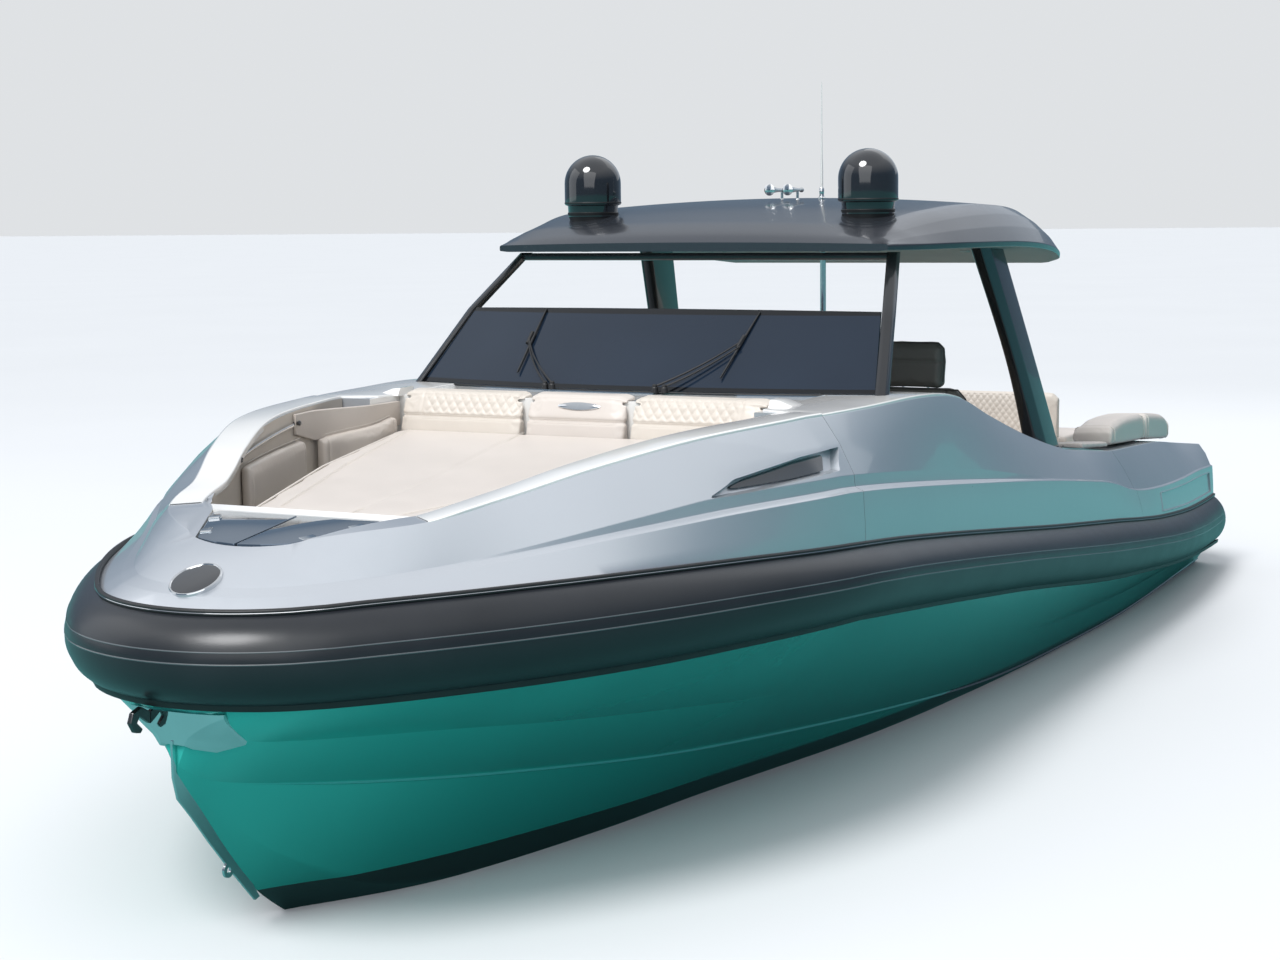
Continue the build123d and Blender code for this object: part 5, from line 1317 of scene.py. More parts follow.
# side cushions: x, gap to the wall, height of the lower and of the upper edge
side_cushions = {
    "forward": [
        (4.282, 0.012, 1.608, 1.902), (3.975, 0.012, 1.608, 1.914), (3.66, 0.012, 1.608, 1.926),
        (3.353, 0.012, 1.608, 1.937)
    ],
    "aft": [
        (3.147, 0.014, 1.648, 1.921), (2.99, 0.082, 1.678, 1.940), (2.785, 0.203, 1.708, 1.968),
        (2.568, 0.224, 1.728, 2.000)
    ],
}
# the well's pads and lining band are in cream_shade, the cream painted darker as painted shade
for side, side_name in both_sides:
    for part, table in side_cushions.items():
        rows = []
        for x in steps_between(table[0][0], table[-1][0], 0.04):
            gap, low, high = row_at(table, x)[1:]
            outer = well_wall(x) - gap
            edge_gap = min(table[0][0] - x, x - table[-1][0])
            tuck = 0.012 * max(0, 1 - edge_gap / 0.05) ** 2
            outline = [
                (outer, low + tuck, 0.015),
                (outer, high - tuck, 0.02),
                (outer - 0.054, high - tuck - 0.004, 0.026),
                (outer - 0.056, low + tuck, 0.02),
            ]
            rows.append(cross_ring(x, side, outline))
        pad = soft_piece(
            f"well_cushion_{part}_{side_name}", rows, cream_shade, "cream_leather", 0.009, 0.012,
            replaced=["bow_side_cushions"] if part == "forward" else ()
        )
        front, back = table[0][0], table[-1][0]
        press_in(pad, lambda place, normal: max(
            seam_depth(place.x - front + 0.045, 0.007, 0.005),
            seam_depth(place.x - back - 0.045, 0.007, 0.005),
        ))
        paths = [[
            (x, side * (well_wall(x) - row_at(table, x)[1] - 0.028), row_at(table, x)[3] + 0.006)
            for x in steps_between(front - 0.05, back + 0.05, 0.05)
        ]]
        stitch_rows(f"well_cushion_stitches_{part}_{side_name}", paths)
    rows = []
    for x, y, low in lining_rows:
        outer = y or well_wall(x) - 0.003
        outline = [
            (outer, low, 0.004), (outer, 2.072, 0.004), (outer - 0.018, 2.070, 0.008),
            (outer - 0.019, low, 0.008)
        ]
        rows.append(cross_ring(x, side, outline))
    band = skinned(f"well_lining_{side_name}", rows, cream_shade, "cream_leather")
    rows = []
    for x in steps_between(4.322, 3.441, 0.04):
        height = rod_height(x)
        outer = well_wall(x) - 0.004
        outline = [
            (outer, height - 0.011, 0.003),
            (outer, height + 0.011, 0.004),
            (outer - 0.021, height + 0.008, 0.008),
            (outer - 0.021, height - 0.009, 0.006),
        ]
        rows.append(cross_ring(x, side, outline))
    skinned(f"well_rod_{side_name}", rows, stainless, "stainless", replaced=["well_trim"] if side > 0 else ())
    knob_mesh = bmesh.new()
    for x in (4.36, 3.40):
        place = (x, side * (well_wall(x) - 0.004), rod_height(x))
        profile = [
            (0, 0), (0.014, 0), (0.016, 0.006), (0.009, 0.012), (0.012, 0.024), (0.016, 0.032),
            (0.010, 0.040), (0, 0.042)
        ]
        add_lathe(knob_mesh, profile, place, (-0.2, -side, 0.1), 20)
    finish_piece(knob_mesh, f"well_knobs_{side_name}", black_gloss, "dark_gloss")


# Deckhouse and the white parts of the well: gelcoat mouldings straight from the hull's moulds,
# with their edges eased. The frame's own shapes are copied, cleaned and given a bevel.
def dress(node, name, finish, slot, body="boat", bevel=0.003, sharp=30):
    """A copy of a frame node with merged faces, eased edges and its own finish."""
    made = bmesh.new()
    made.from_mesh(nodes[node].data)
    bmesh.ops.remove_doubles(made, verts=made.verts, dist=2e-5)
    bmesh.ops.dissolve_limit(made, angle_limit=radians(0.6), verts=made.verts, edges=made.edges)
    return finish_piece(made, name, finish, slot, body, sharp, [node], bevel)


nonslip = gloss("nonslip_deck", (0.74, 0.73, 0.70), (0.66, 0.65, 0.62), 0.55, 0.0, 0.0, 6.0, 0.0012)
dress("deckhouse", "deckhouse_shell", white_gelcoat, "white_gelcoat", bevel=0.008)
dress("well_liner", "well_floor", nonslip, "white_gelcoat", bevel=0.004)
dress("cabin_door", "cabin_door_panel", lid_gloss, "dark_gloss", "door", 0.004)


# Windscreen: one sheet of laminated glass, curved in plan, tinted nearly black, with a printed
# band round its edge. It is bonded to the pillars and to a black strip on the deckhouse.
# height of the glass's foot and head, and for each: x in the middle, x at the corner, half-breadth
glass_foot_z, glass_head_z = 2.125, 2.58
glass_foot = (1.95, 1.735, 1.5)
glass_head = (1.43, 1.29, 1.365)


def glass_row(z, inward, swell_up=0.0):
    """Points across the glass at a height, set in from its outer face."""
    t = (z - glass_foot_z) / (glass_head_z - glass_foot_z)
    centre, corner, half = (foot + (head - foot) * t for foot, head in zip(glass_foot, glass_head))
    row = []
    for k in range(49):
        y = half * (1 - k / 24)
        x = centre - (centre - corner) * (y / half) ** 2 - inward
        row.append(Vector((x, y, z + swell_up * (1 - (y / half) ** 2))))
    return row


glass_mesh = bmesh.new()
glass_rows = []
glass_low, glass_high = 2.127, 2.566
for inward in (0.0, 0.016):
    levels = [glass_low + (glass_high - glass_low) * k / 10 for k in range(11)]
    sheet = [glass_row(z, inward, 0.012 * (z - glass_low) / 0.44) for z in levels]
    glass_rows += sheet if inward == 0 else list(reversed(sheet))
glass_rows.append(glass_rows[0])
add_skin(glass_mesh, glass_rows, ring=False, caps=False)
bmesh.ops.remove_doubles(glass_mesh, verts=glass_mesh.verts, dist=1e-5)
bmesh.ops.holes_fill(glass_mesh, edges=[edge for edge in glass_mesh.edges if edge.is_boundary], sides=0)
tint = Finish("tinted_glass", 0.05, 0.0, 0.15, Alpha=0.985, Specular_IOR_Level=0.3)
tint.set("Coat Roughness", 0.03)
height = tint.axes()[2]
band = (height > 2.545).at_least(height < 2.15)
shade = tint.blend(tint.noise(1.2, 2.0), (0.008, 0.015, 0.028), (0.014, 0.025, 0.044))
tint.colour(tint.blend(band, shade, (0.005, 0.006, 0.008)))
tint.set("Roughness", 0.04 + tint.noise(5.0, 3.0) * 0.03)
finish_piece(glass_mesh, "windscreen_glass", tint, "tinted_glass", replaced=["windscreen"])

frame_black = gloss("frame_black", (0.022, 0.023, 0.026), (0.013, 0.014, 0.016), 0.22, 0.2, 0.5)
pillar_rows = [(2.116, 1.725, 1.537), (2.56, 1.28, 1.409), (2.903, 0.845, 1.272)]
frame_mesh = bmesh.new()
for side in (1, -1):
    rows = []
    for z in steps_between(2.117, 2.902, 0.05):
        for (z1, x1, y1), (z2, x2, y2) in zip(pillar_rows, pillar_rows[1:]):
            if z <= z2:
                break
        t = (z - z1) / (z2 - z1)
        x, y = x1 + (x2 - x1) * t, y1 + (y2 - y1) * t
        corners = [
            (x + 0.05, y - 0.006, 0.018), (x + 0.02, y + 0.028, 0.02), (x - 0.053, y + 0.028, 0.012),
            (x - 0.053, y - 0.028, 0.012), (x + 0.04, y - 0.028, 0.012)
        ]
        rows.append(level_ring(z, side, corners))
    add_skin(frame_mesh, rows)
finish_piece(frame_mesh, "screen_pillars", frame_black, "dark_paint", sharp=40)
header = [(0.905, 2.853, 0.02), (0.903, 2.899, 0.012), (0.818, 2.899, 0.012), (0.818, 2.853, 0.015)]
header_rows = []
for y in steps_between(1.258, -1.258, 0.06):
    header_rows.append(long_ring(y, header))
skinned("screen_header", header_rows, frame_black, "dark_paint", replaced=["windscreen_frame"])
strip_rows = []
middle, corner, half = glass_foot
for k in range(61):
    y = 1.52 * (1 - k / 30)
    x = middle - (middle - corner) * (y / half) ** 2
    section = [
        (x + 0.018, 2.117, 0.002), (x + 0.016, 2.1235, 0.003), (x - 0.038, 2.1235, 0.003),
        (x - 0.038, 2.117, 0.002)
    ]
    strip_rows.append(long_ring(y, section, 2))
skinned("screen_strip", strip_rows, rubber, "black_trim")


# Pantograph wipers: a pair of slim parallel arms from a twin pivot to each blade, painted black,
# with a rubber blade in a slim spine.
def glass_x(y, z):
    """Length at which the glass's outer face stands."""
    t = (z - glass_foot_z) / (glass_head_z - glass_foot_z)
    base, top = (
        middle - (middle - corner) * (y / half) ** 2 for middle, corner, half in (glass_foot, glass_head)
    )
    return base + (top - base) * t


# arms: pivot y, second pivot y, elbow y z, head y z, blade foot y z, blade top y z
wiper_sets = [
    ("port", 0.24, 0.30, 0.46, 2.255, 0.63, 2.40, 0.60, 2.205, 0.665, 2.562),
    ("starboard", -0.45, -0.50, -0.70, 2.28, -0.80, 2.40, -0.765, 2.205, -0.79, 2.565),
]
for name, y1, y2, ey, ez, hy, hz, fy, fz, ty, tz in wiper_sets:
    arm_mesh = bmesh.new()
    for pivot_y, drop in ((y1, 0.0), (y2, 0.022)):
        pivot = Vector((glass_x(pivot_y, 2.15) + 0.062, pivot_y, 2.156))
        elbow = Vector((glass_x(ey, ez - drop) + 0.050, ey + drop * 0.4, ez - drop))
        head = Vector((glass_x(hy, hz - drop) + 0.040, hy + drop * 0.5, hz - drop))
        path = [
            pivot * (1 - t) ** 2 + elbow * 2 * t * (1 - t) + head * t**2
            for t in [k / 12 for k in range(13)]
        ]
        add_tube(arm_mesh, path, lambda t: 0.0065 - 0.002 * t, 8)
        profile = [
            (0, -0.036), (0.019, -0.036), (0.019, -0.008), (0.015, -0.002), (0.015, 0.008),
            (0.009, 0.013), (0, 0.013)
        ]
        add_lathe(arm_mesh, profile, pivot, (0, 0, 1), 18)
    foot = Vector((glass_x(fy, fz) + 0.030, fy, fz))
    top = Vector((glass_x(ty, tz) + 0.026, ty, tz))
    head = Vector((glass_x(hy, hz) + 0.034, hy, hz))
    add_tube(
        arm_mesh, [foot + (top - foot) * t for t in [k / 10 for k in range(11)]],
        lambda t: 0.004 + 0.004 * (1 - abs(2 * t - 1)), 8
    )
    add_tube(
        arm_mesh, [head + (top - foot).normalized() * 0.05, head - (top - foot).normalized() * 0.05],
        0.011, 8
    )
    low_x = Vector((-0.016, 0, 0))
    outline = [foot, top, top + low_x, foot + low_x]
    add_skin(arm_mesh, [[point + Vector((0, half, 0)) for point in outline] for half in (0.0022, -0.0022)])
    finish_piece(
        arm_mesh, f"wiper_{name}", rubber, "black_trim", replaced=["wipers"] if name == "port" else ()
    )


# Hardtop: a moulded composite roof painted dark metallic and crowned in both directions, bolted
# to the arches and the screen's header, with a plain lined underside and rows of small lamps.
# sections: x, half-breadth, heights of the underside, shoulder and crest
roof_rows = [
    (1080, 1330, 2912, 2970, 2985),
    (960, 1395, 2910, 3010, 3040),
    (800, 1450, 2908, 3058, 3090),
    (200, 1560, 2908, 3145, 3195),
    (-600, 1605, 2900, 3178, 3238),
    (-1400, 1560, 2860, 3130, 3190),
    (-2050, 1440, 2790, 3010, 3060),
    (-2300, 1290, 2755, 2925, 2960),
]
roof_front, roof_back = 1080, -2300
end_ease = 90
rows = []
for x in steps_between(roof_front, roof_back, 40):
    half, under, shoulder, crest = row_at(roof_rows, x)[1:]
    nose = held((roof_front - x) / end_ease)
    tail = held((x - roof_back) / end_ease)
    ease = sqrt(max(0, 1 - (1 - nose) ** 2)) * sqrt(max(0, 1 - (1 - tail) ** 2))
    ease = 0.25 + 0.75 * ease
    fullness = 0.55 + 0.45 * ease
    inner = half - 230
    top = []
    for k in range(13):
        t = k / 12
        y = inner * (1 - t)
        crown = shoulder + (crest - shoulder) * (1 - (y / inner) ** 2)
        top.append((y, under + 20 + (crown - under - 20) * fullness))
    lip_z = under + 20 + (shoulder - under - 20) * fullness
    edge = [
        (half - 60, under, 20),
        (half - 4, under + 6, 8),
        (half - 2, under + 40, 14),
        (half - 60, under + 40 + (lip_z - under - 40) * 0.40, 60),
        (half - 140, under + 40 + (lip_z - under - 40) * 0.74, 60),
    ]
    outline = [(0, under, 0)] + edge + [(inner, top[0][1], 0), (0, top[-1][1], 0)]
    edge_points = [tuple(point) for point in rounded(outline, 4)[5:30]]
    ring = [Vector((x * mm, 0, under * mm))]
    ring += [Vector((x * mm, a * mm, b * mm)) for a, b in edge_points + top[:-1]]
    ring.append(Vector((x * mm, 0, top[-1][1] * mm)))
    mirrored = [Vector((p.x, -p.y, p.z)) for p in reversed(ring[1:-1])]
    rows.append(ring + mirrored)
roof_paint = flake_paint("roof_paint", (0.072, 0.080, 0.096), (0.045, 0.050, 0.062), 0.24, 0.6)
roof_paint.set("Coat Weight", 0.5)
hardtop = skinned("hardtop_shell", rows, roof_paint, "dark_paint", sharp=40, replaced=["hardtop"])
headliner = gloss("headliner", (0.30, 0.29, 0.28), (0.25, 0.245, 0.24), 0.6, 0.0, 0.0, 5.0, 0.0004)
paint_faces(hardtop, headliner, lambda face: face.normal.z < -0.9)
lamp_lens = gloss("lamp_lens", (0.88, 0.87, 0.84), (0.80, 0.79, 0.76), 0.2, 0.0, 0.4, 20.0)
lamp_paths = [
    [(x, side * 0.95, row_at(roof_rows, x * 1000)[2] * mm - 0.002) for x in steps_between(0.6, -1.4, 0.1)]
    for side in (1, -1)
]
row_of("roof_lamps", lamp_paths, 0.5, 0.035, 0.008, lamp_lens, axis=(0.0, 0.0, 1.0))


# Raked blade arches: composite uprights, painted like the roof outside and black on their
# inner and forward faces, each bolted to the coaming through a polished foot plate.
# sections: z, x, y, length, width
arch_rows = [
    (1.425, -1.775, 1.42, 0.43, 0.15),
    (2.1, -1.40, 1.365, 0.40, 0.11),
    (2.895, -0.975, 1.254, 0.418, 0.119),
]
for side, name in both_sides:
    rows = []
    for z in steps_between(1.44, 2.893, 0.05):
        x, y, length, width = row_at(arch_rows, z)[1:]
        half_l, half_w = length / 2, width / 2
        corners = [
            (x + half_l, y + half_w * 0.35, 0.02),
            (x + half_l * 0.55, y + half_w, 0.06),
            (x - half_l * 0.75, y + half_w, 0.05),
            (x - half_l, y + half_w * 0.1, 0.02),
            (x - half_l * 0.8, y - half_w, 0.03),
            (x + half_l * 0.9, y - half_w, 0.03),
        ]
        rows.append(level_ring(z, side, corners))
    arch = skinned(
        f"arch_{name}", rows, roof_paint, "dark_paint", sharp=36, replaced=["arches"] if side > 0 else ()
    )
    paint_faces(arch, frame_black, lambda face: face.normal.y * side < 0.25 or face.normal.x > 0.55)
    x, y, length, width = row_at(arch_rows, 1.44)[1:]
    corners = [
        (x + a * length / 2 * 1.04, y + b * width / 2 * 1.06, 0.04)
        for a, b in ((1, 1), (-1, 1), (-1, -1), (1, -1))
    ]
    plate = [(a, side * b) for a, b in rounded(corners, 4)]
    rows = slab_rows(plate, lambda at: 1.470 + (at - x) * 0.085, 0.05, 0.006)
    skinned(f"arch_foot_{name}", rows, stainless, "stainless")


# Two satellite domes in black gelcoat, on dark bases bolted through the roof, an aerial on a
# ratchet mount, two trumpet horns and the slim post that carries cables to the roof.
dome_mesh = bmesh.new()
base_mesh = bmesh.new()
for side in (1, -1):
    place = (0.48, side * 0.967, 3.15)
    profile = [(0.162, -0.02), (0.165, 0.050), (0.184, 0.058), (0.185, 0.075), (0.185, 0.195)]
    profile += [(0.185 * cos(radians(a)), 0.195 + 0.185 * sin(radians(a))) for a in steps_between(6, 90, 6)]
    add_lathe(dome_mesh, [(0, -0.02)] + profile, place, (0, 0, 1), 64)
    ring = [(0.186, 0.064), (0.1872, 0.066), (0.1872, 0.072), (0.186, 0.074), (0.180, 0.074), (0.180, 0.064)]
    add_lathe(base_mesh, ring, place, (0, 0, 1), 64)
    foot = [
        (0, -0.05), (0.150, -0.05), (0.160, -0.02), (0.168, 0.004), (0.160, 0.012), (0.150, 0.016),
        (0, 0.016)
    ]
    add_lathe(base_mesh, foot, place, (0, 0, 1), 64)
finish_piece(dome_mesh, "dome_shells", black_gloss, "dark_gloss", replaced=["satellite_domes"])
finish_piece(base_mesh, "dome_bases", rubber, "black_trim")
place = (-0.26, 0.35, 3.15)
turned(
    "antenna_whip",
    [(0, 0.13), (0.009, 0.13), (0.0085, 0.30), (0.006, 0.34), (0.0035, 0.60), (0.0022, 0.838), (0, 0.84)],
    place, (0, 0, 1), 16, white_gelcoat, "white_gelcoat", replaced=["antenna"]
)
turned(
    "antenna_mount",
    [
        (0, 0.05), (0.026, 0.05), (0.026, 0.085), (0.017, 0.092), (0.014, 0.105), (0.016, 0.12),
        (0.016, 0.145), (0.011, 0.155), (0, 0.155),
    ],
    place, (0, 0, 1), 24, stainless, "stainless"
)
horn_mesh = bmesh.new()
for y, length in ((0.06, 0.30), (0.19, 0.24)):
    profile = [
        (0.004, 0.002), (0.030, 0.0), (0.0375, -0.003), (0.036, -0.008), (0.026, -0.03), (0.019, -0.07),
        (0.013, -0.14), (0.010, -length + 0.02), (0.016, -length + 0.012), (0.016, -length),
        (0.004, -length)
    ]
    add_lathe(horn_mesh, [(0, -0.02)] + profile + [(0, -length)], (-0.062, y, 3.29), (1, 0, 0), 28)
    add_lathe(
        horn_mesh,
        [(0, -0.07), (0.017, -0.07), (0.014, -0.062), (0.009, -0.055), (0.009, -0.008), (0, -0.008)],
        (-0.06 - length * 0.7, y, 3.29), (0, 0, 1), 16
    )
finish_piece(horn_mesh, "horn_trumpets", stainless, "stainless", replaced=["horns"])
turned(
    "roof_post_tube",
    [
        (0, 0.702), (0.034, 0.702), (0.034, 0.710), (0.022, 0.716), (0.0195, 0.724), (0.0195, 2.88),
        (0.030, 2.893), (0.034, 2.899), (0, 2.899),
    ],
    (-0.28, 0.35, 0), (0, 0, 1), 24, stainless, "stainless", replaced=["roof_post"]
)


# Helm: two instrument pods with dark glass displays, switch rows and a throttle, either side of
# the cabin door, and a small wheel with a stitched rim.
pod_finish = gloss("pod_moulding", (0.060, 0.062, 0.066), (0.040, 0.042, 0.046), 0.42, 0.0, 0.1, 6.0, 0.0006)
dress("helm_console", "helm_pods", pod_finish, "dark_gloss", bevel=0.010)
face_up = Vector((0.28735, 0, 0.95783))
face_out = Vector((-0.95783, 0, 0.28735))
screen_glass = gloss("screen_glass", (0.012, 0.016, 0.022), (0.006, 0.008, 0.012), 0.04, 0.0, 0.9)


def face_point(y, up, out):
    """A point on the pods' sloping face, from its middle."""
    return Vector((0.29, y, 1.70)) + face_up * up + face_out * out


def add_panel(mesh_maker, y, up, wide, tall, low, high, radius=0.012):
    """A thin panel standing off the pods' face, with rounded corners."""
    corners = [(y - wide / 2, up - tall / 2, radius), (y + wide / 2, up - tall / 2, radius)]
    corners += [(y + wide / 2, up + tall / 2, radius), (y - wide / 2, up + tall / 2, radius)]
    rows = []
    for out, shrink in ((low, 0), (high - 0.002, 0), (high, 0.002)):
        smaller = [
            (a + (shrink if a < y else -shrink), b + (shrink if b < up else -shrink), r)
            for a, b, r in corners
        ]
        rows.append([face_point(a, b, out) for a, b in rounded(smaller, 3)])
    add_skin(mesh_maker, rows)


display_mesh = bmesh.new()
bezel_mesh = bmesh.new()
switch_paths = []
for y, up, wide, tall in ((-0.78, 0.12, 0.36, 0.13), (0.62, 0.05, 0.34, 0.22), (1.0, 0.05, 0.24, 0.22)):
    add_panel(bezel_mesh, y, up, wide + 0.02, tall + 0.02, -0.004, 0.006)
    add_panel(display_mesh, y, up, wide, tall, 0.004, 0.0085)
for y in (-1.06, -0.50):
    add_panel(bezel_mesh, y, 0.08, 0.12, 0.16, -0.004, 0.005)
    switch_paths += [[face_point(y + dy, 0.02 + k * 0.03, 0.008) for k in range(6)] for dy in (-0.03, 0.03)]
finish_piece(bezel_mesh, "helm_bezels", frame_black, "black_trim")
finish_piece(display_mesh, "helm_displays", screen_glass, "dark_gloss")
row_of("helm_switches", switch_paths, 0.03, 0.009, 0.012, stainless, axis=tuple(face_out))
lever_mesh = bmesh.new()
for y in (-0.475, -0.435):
    add_tube(
        lever_mesh, [face_point(y, -0.06, 0.0), face_point(y, -0.03, 0.05), face_point(y, 0.02, 0.085)],
        0.008, 10
    )
    add_lathe(
        lever_mesh, [(0, -0.02), (0.012, -0.018), (0.015, 0), (0.013, 0.016), (0, 0.02)],
        face_point(y, 0.03, 0.09), (0, 1, 0), 16
    )
finish_piece(lever_mesh, "throttle_levers", stainless, "stainless")

wheel_leather = leather("wheel_leather", (0.045, 0.044, 0.042), (0.028, 0.027, 0.026), 0.0004, 500.0, 0.45)
wheel_centre = Vector((0.1847, -0.78, 1.7316))
wheel_side = Vector((0, 1, 0))
rim_radius = 0.1805
rim_mesh = bmesh.new()
ring = []
for k in range(72):
    turn = 2 * pi * k / 72
    ring.append(wheel_centre + (wheel_side * cos(turn) + face_up * sin(turn)) * rim_radius)
add_tube(rim_mesh, ring, 0.0125, 12, closed=True)
finish_piece(rim_mesh, "wheel_rim", wheel_leather, "dark_leather", "wheel", replaced=["steering_wheel"])
spoke_mesh = bmesh.new()
for turn in (90, 210, 330):
    way = wheel_side * cos(radians(turn)) + face_up * sin(radians(turn))
    across = face_out.cross(way)
    rows = []
    for reach, wide, out in (
        (0.02, 0.030, -0.006), (0.06, 0.024, -0.004), (0.12, 0.015, 0.0), (0.176, 0.019, 0.0)
    ):
        middle = wheel_centre + way * reach + face_out * out
        section = [(a * wide, b * 0.003, 0.002) for a, b in ((-1, -1), (1, -1), (1, 1), (-1, 1))]
        rows.append([middle + across * a + face_out * b for a, b in rounded(section, 2)])
    add_skin(spoke_mesh, rows)
profile = [
    (0, -0.128), (0.0158, -0.128), (0.0158, -0.03), (0.040, -0.012), (0.042, 0.006), (0.036, 0.014),
    (0.018, 0.018), (0, 0.019)
]
add_lathe(spoke_mesh, profile, wheel_centre, tuple(face_out), 32)
finish_piece(spoke_mesh, "wheel_spokes", stainless, "stainless", "wheel")


# Helm seats: moulded buckets on pedestals, in dark grey-olive upholstery with piping, a wide
# winged back and a separate headrest with a sewn middle panel.
seat_leather = leather("seat_leather", (0.165, 0.155, 0.135), (0.105, 0.099, 0.088), 0.0006, 380.0, 0.44)
seat_piping = gloss("seat_piping", (0.075, 0.070, 0.062), (0.05, 0.047, 0.042), 0.5, 0.0, 0.0, 12.0)
# piping of the back and the headrest: its height and half-breadth, x at its foot, and its rake
piping_lines = [
    ([(1.36, 0.387), (1.55, 0.409), (1.74, 0.404), (1.88, 0.378), (1.937, 0.322)], -0.752, 0.155),
    ([(1.99, 0.214), (2.12, 0.221), (2.215, 0.211), (2.253, 0.172)], -0.842, 0.095),
]
# sections of the pedestal: z, aft x, front x, half-breadth, corner radius
pedestal_sections = [
    (0.704, -0.83, -0.41, 0.235, 0.08),
    (0.73, -0.825, -0.415, 0.232, 0.08),
    (0.80, -0.79, -0.45, 0.19, 0.07),
    (1.10, -0.78, -0.46, 0.19, 0.07),
    (1.17, -0.83, -0.40, 0.27, 0.08),
    (1.189, -0.84, -0.38, 0.30, 0.08),
]


def seat_ring(seat_y, z, aft, front, half, corner):
    """A level section of a seat with rounded corners."""
    corners = [(front, half, corner), (aft, half, corner), (aft, -half, corner), (front, -half, corner)]
    return [Vector((a, seat_y + b, z)) for a, b in rounded(corners, 4)]


for side, name in both_sides:
    seat_y = side * 0.78

    def seat_pad(part, sections, cap):
        """A stuffed part of the seat, lofted through level sections like the pedestal's."""
        return soft_piece(
            f"helm_seat_{part}_{name}", [seat_ring(seat_y, *section) for section in sections],
            seat_leather, "dark_leather", cap, 0.014,
            replaced=["helm_seats"] if part == "cushion" and side > 0 else ()
        )

    cushion = seat_pad("cushion", [
        (1.192, -0.84, -0.36, 0.34, 0.08),
        (1.205, -0.875, -0.335, 0.366, 0.07),
        (1.275, -0.885, -0.332, 0.370, 0.07),
        (1.318, -0.87, -0.345, 0.355, 0.08),
        (1.325, -0.83, -0.39, 0.31, 0.09),
    ], 0.010)
    press_on_top(cushion, lambda place: seam_depth(abs(place.y - seat_y) - 0.25, 0.010, 0.007))
    back = seat_pad("back", [
        (1.32, -0.845, -0.735, 0.33, 0.05),
        (1.36, -0.858, -0.727, 0.385, 0.05),
        (1.55, -0.882, -0.762, 0.405, 0.05),
        (1.74, -0.908, -0.790, 0.400, 0.05),
        (1.88, -0.928, -0.812, 0.375, 0.05),
        (1.935, -0.928, -0.826, 0.32, 0.045),
        (1.955, -0.915, -0.845, 0.26, 0.03),
    ], 0.012)

    def back_panels(place, normal):
        """Two upright seams and one across, on the back's forward face."""
        if normal.x < 0.3:
            return 0.0
        return max(
            seam_depth(abs(place.y - seat_y) - 0.24, 0.010, 0.009),
            seam_depth(place.z - 1.60, 0.009, 0.005)
        )

    press_in(back, back_panels)
    head = seat_pad("headrest", [
        (1.942, -0.905, -0.832, 0.19, 0.03),
        (1.965, -0.930, -0.820, 0.212, 0.035),
        (2.12, -0.945, -0.835, 0.218, 0.04),
        (2.215, -0.950, -0.845, 0.208, 0.04),
        (2.255, -0.940, -0.862, 0.17, 0.03),
        (2.264, -0.925, -0.88, 0.12, 0.02),
    ], 0.009)
    press_in(head, lambda place, normal: seam_depth(place.z - 2.13, 0.009, 0.007) if normal.x > 0.3 else 0.0)
    piping_mesh = bmesh.new()
    for table, foot_x, rake in piping_lines:
        foot_z = table[0][0]
        up = [Vector((foot_x - (z - foot_z) * rake + 0.006, seat_y + half, z)) for z, half in table]
        down = [
            Vector((foot_x - (z - foot_z) * rake + 0.006, seat_y - half, z)) for z, half in reversed(table)
        ]
        add_tube(piping_mesh, up + down, 0.0055, 7)
    finish_piece(piping_mesh, f"helm_seat_piping_{name}", seat_piping, "dark_leather")
    rows = [seat_ring(seat_y, *section) for section in pedestal_sections]
    skinned(f"helm_seat_pedestal_{name}", rows, white_gelcoat, "white_gelcoat")
    rod_mesh = bmesh.new()
    for rod_y in (-0.09, 0.09):
        add_tube(rod_mesh, [(-0.885, seat_y + rod_y, 1.90), (-0.89, seat_y + rod_y, 2.02)], 0.008, 10)
    finish_piece(rod_mesh, f"headrest_rods_{name}", stainless, "stainless")


# Cockpit sole and swim platform: synthetic planking glued over the moulding, in long strips
# caulked with pale seams, inside a plain margin.
def planking(name, light, dark, seam, pitch, across):
    """Planks that run fore and aft, with a seam between each pair and a grain along them."""
    made = Finish(name, 0.62)
    across_axis = made.axes()[1]
    plank = (across_axis / pitch).fraction()
    number = across_axis / pitch - plank
    grain = made.noise(30, 4.0, (0.6, 9.0, 9.0))
    tone = (number * 0.37).fraction() * 0.35 + grain * 0.65
    line = (plank < 0.075) * (across_axis.absolute() < across)
    made.colour(made.blend(line, made.blend(tone, dark, light), seam))
    made.set("Roughness", 0.55 + grain * 0.2)
    made.bump(grain, 0.0008, 0.5)
    made.bump(line, 0.0008, 0.5)
    return made


deck_boards = planking(
    "deck_planking", (0.50, 0.43, 0.34), (0.36, 0.30, 0.235), (0.70, 0.67, 0.62), 0.058, 1.14
)
dress("cockpit_sole", "cockpit_sole_boards", deck_boards, "deck_planking", bevel=0.004)
dress("swim_platform", "swim_platform_boards", deck_boards, "deck_planking", bevel=0.016)


# Stern seating: a sofa across the cockpit and padded coamings either side, in the same cream
# upholstery. The sofa's back is quilted and ends in a plain rolled length to port.
def cushion_rows(low, high, corner=0.04):
    """Rows of a brick-shaped pad with rounded corners and edges, from its lowest to its highest corner."""
    rows = []
    for t, tuck in ((0, 0.022), (0.12, 0.006), (0.3, 0), (0.7, 0), (0.88, 0.006), (1, 0.022)):
        z = low[2] + (high[2] - low[2]) * t
        corners = [(high[0] - tuck, high[1] - tuck, corner), (low[0] + tuck, high[1] - tuck, corner)]
        corners += [(low[0] + tuck, low[1] + tuck, corner), (high[0] - tuck, low[1] + tuck, corner)]
        rows.append(level_ring(z, 1, corners, 4))
    return rows


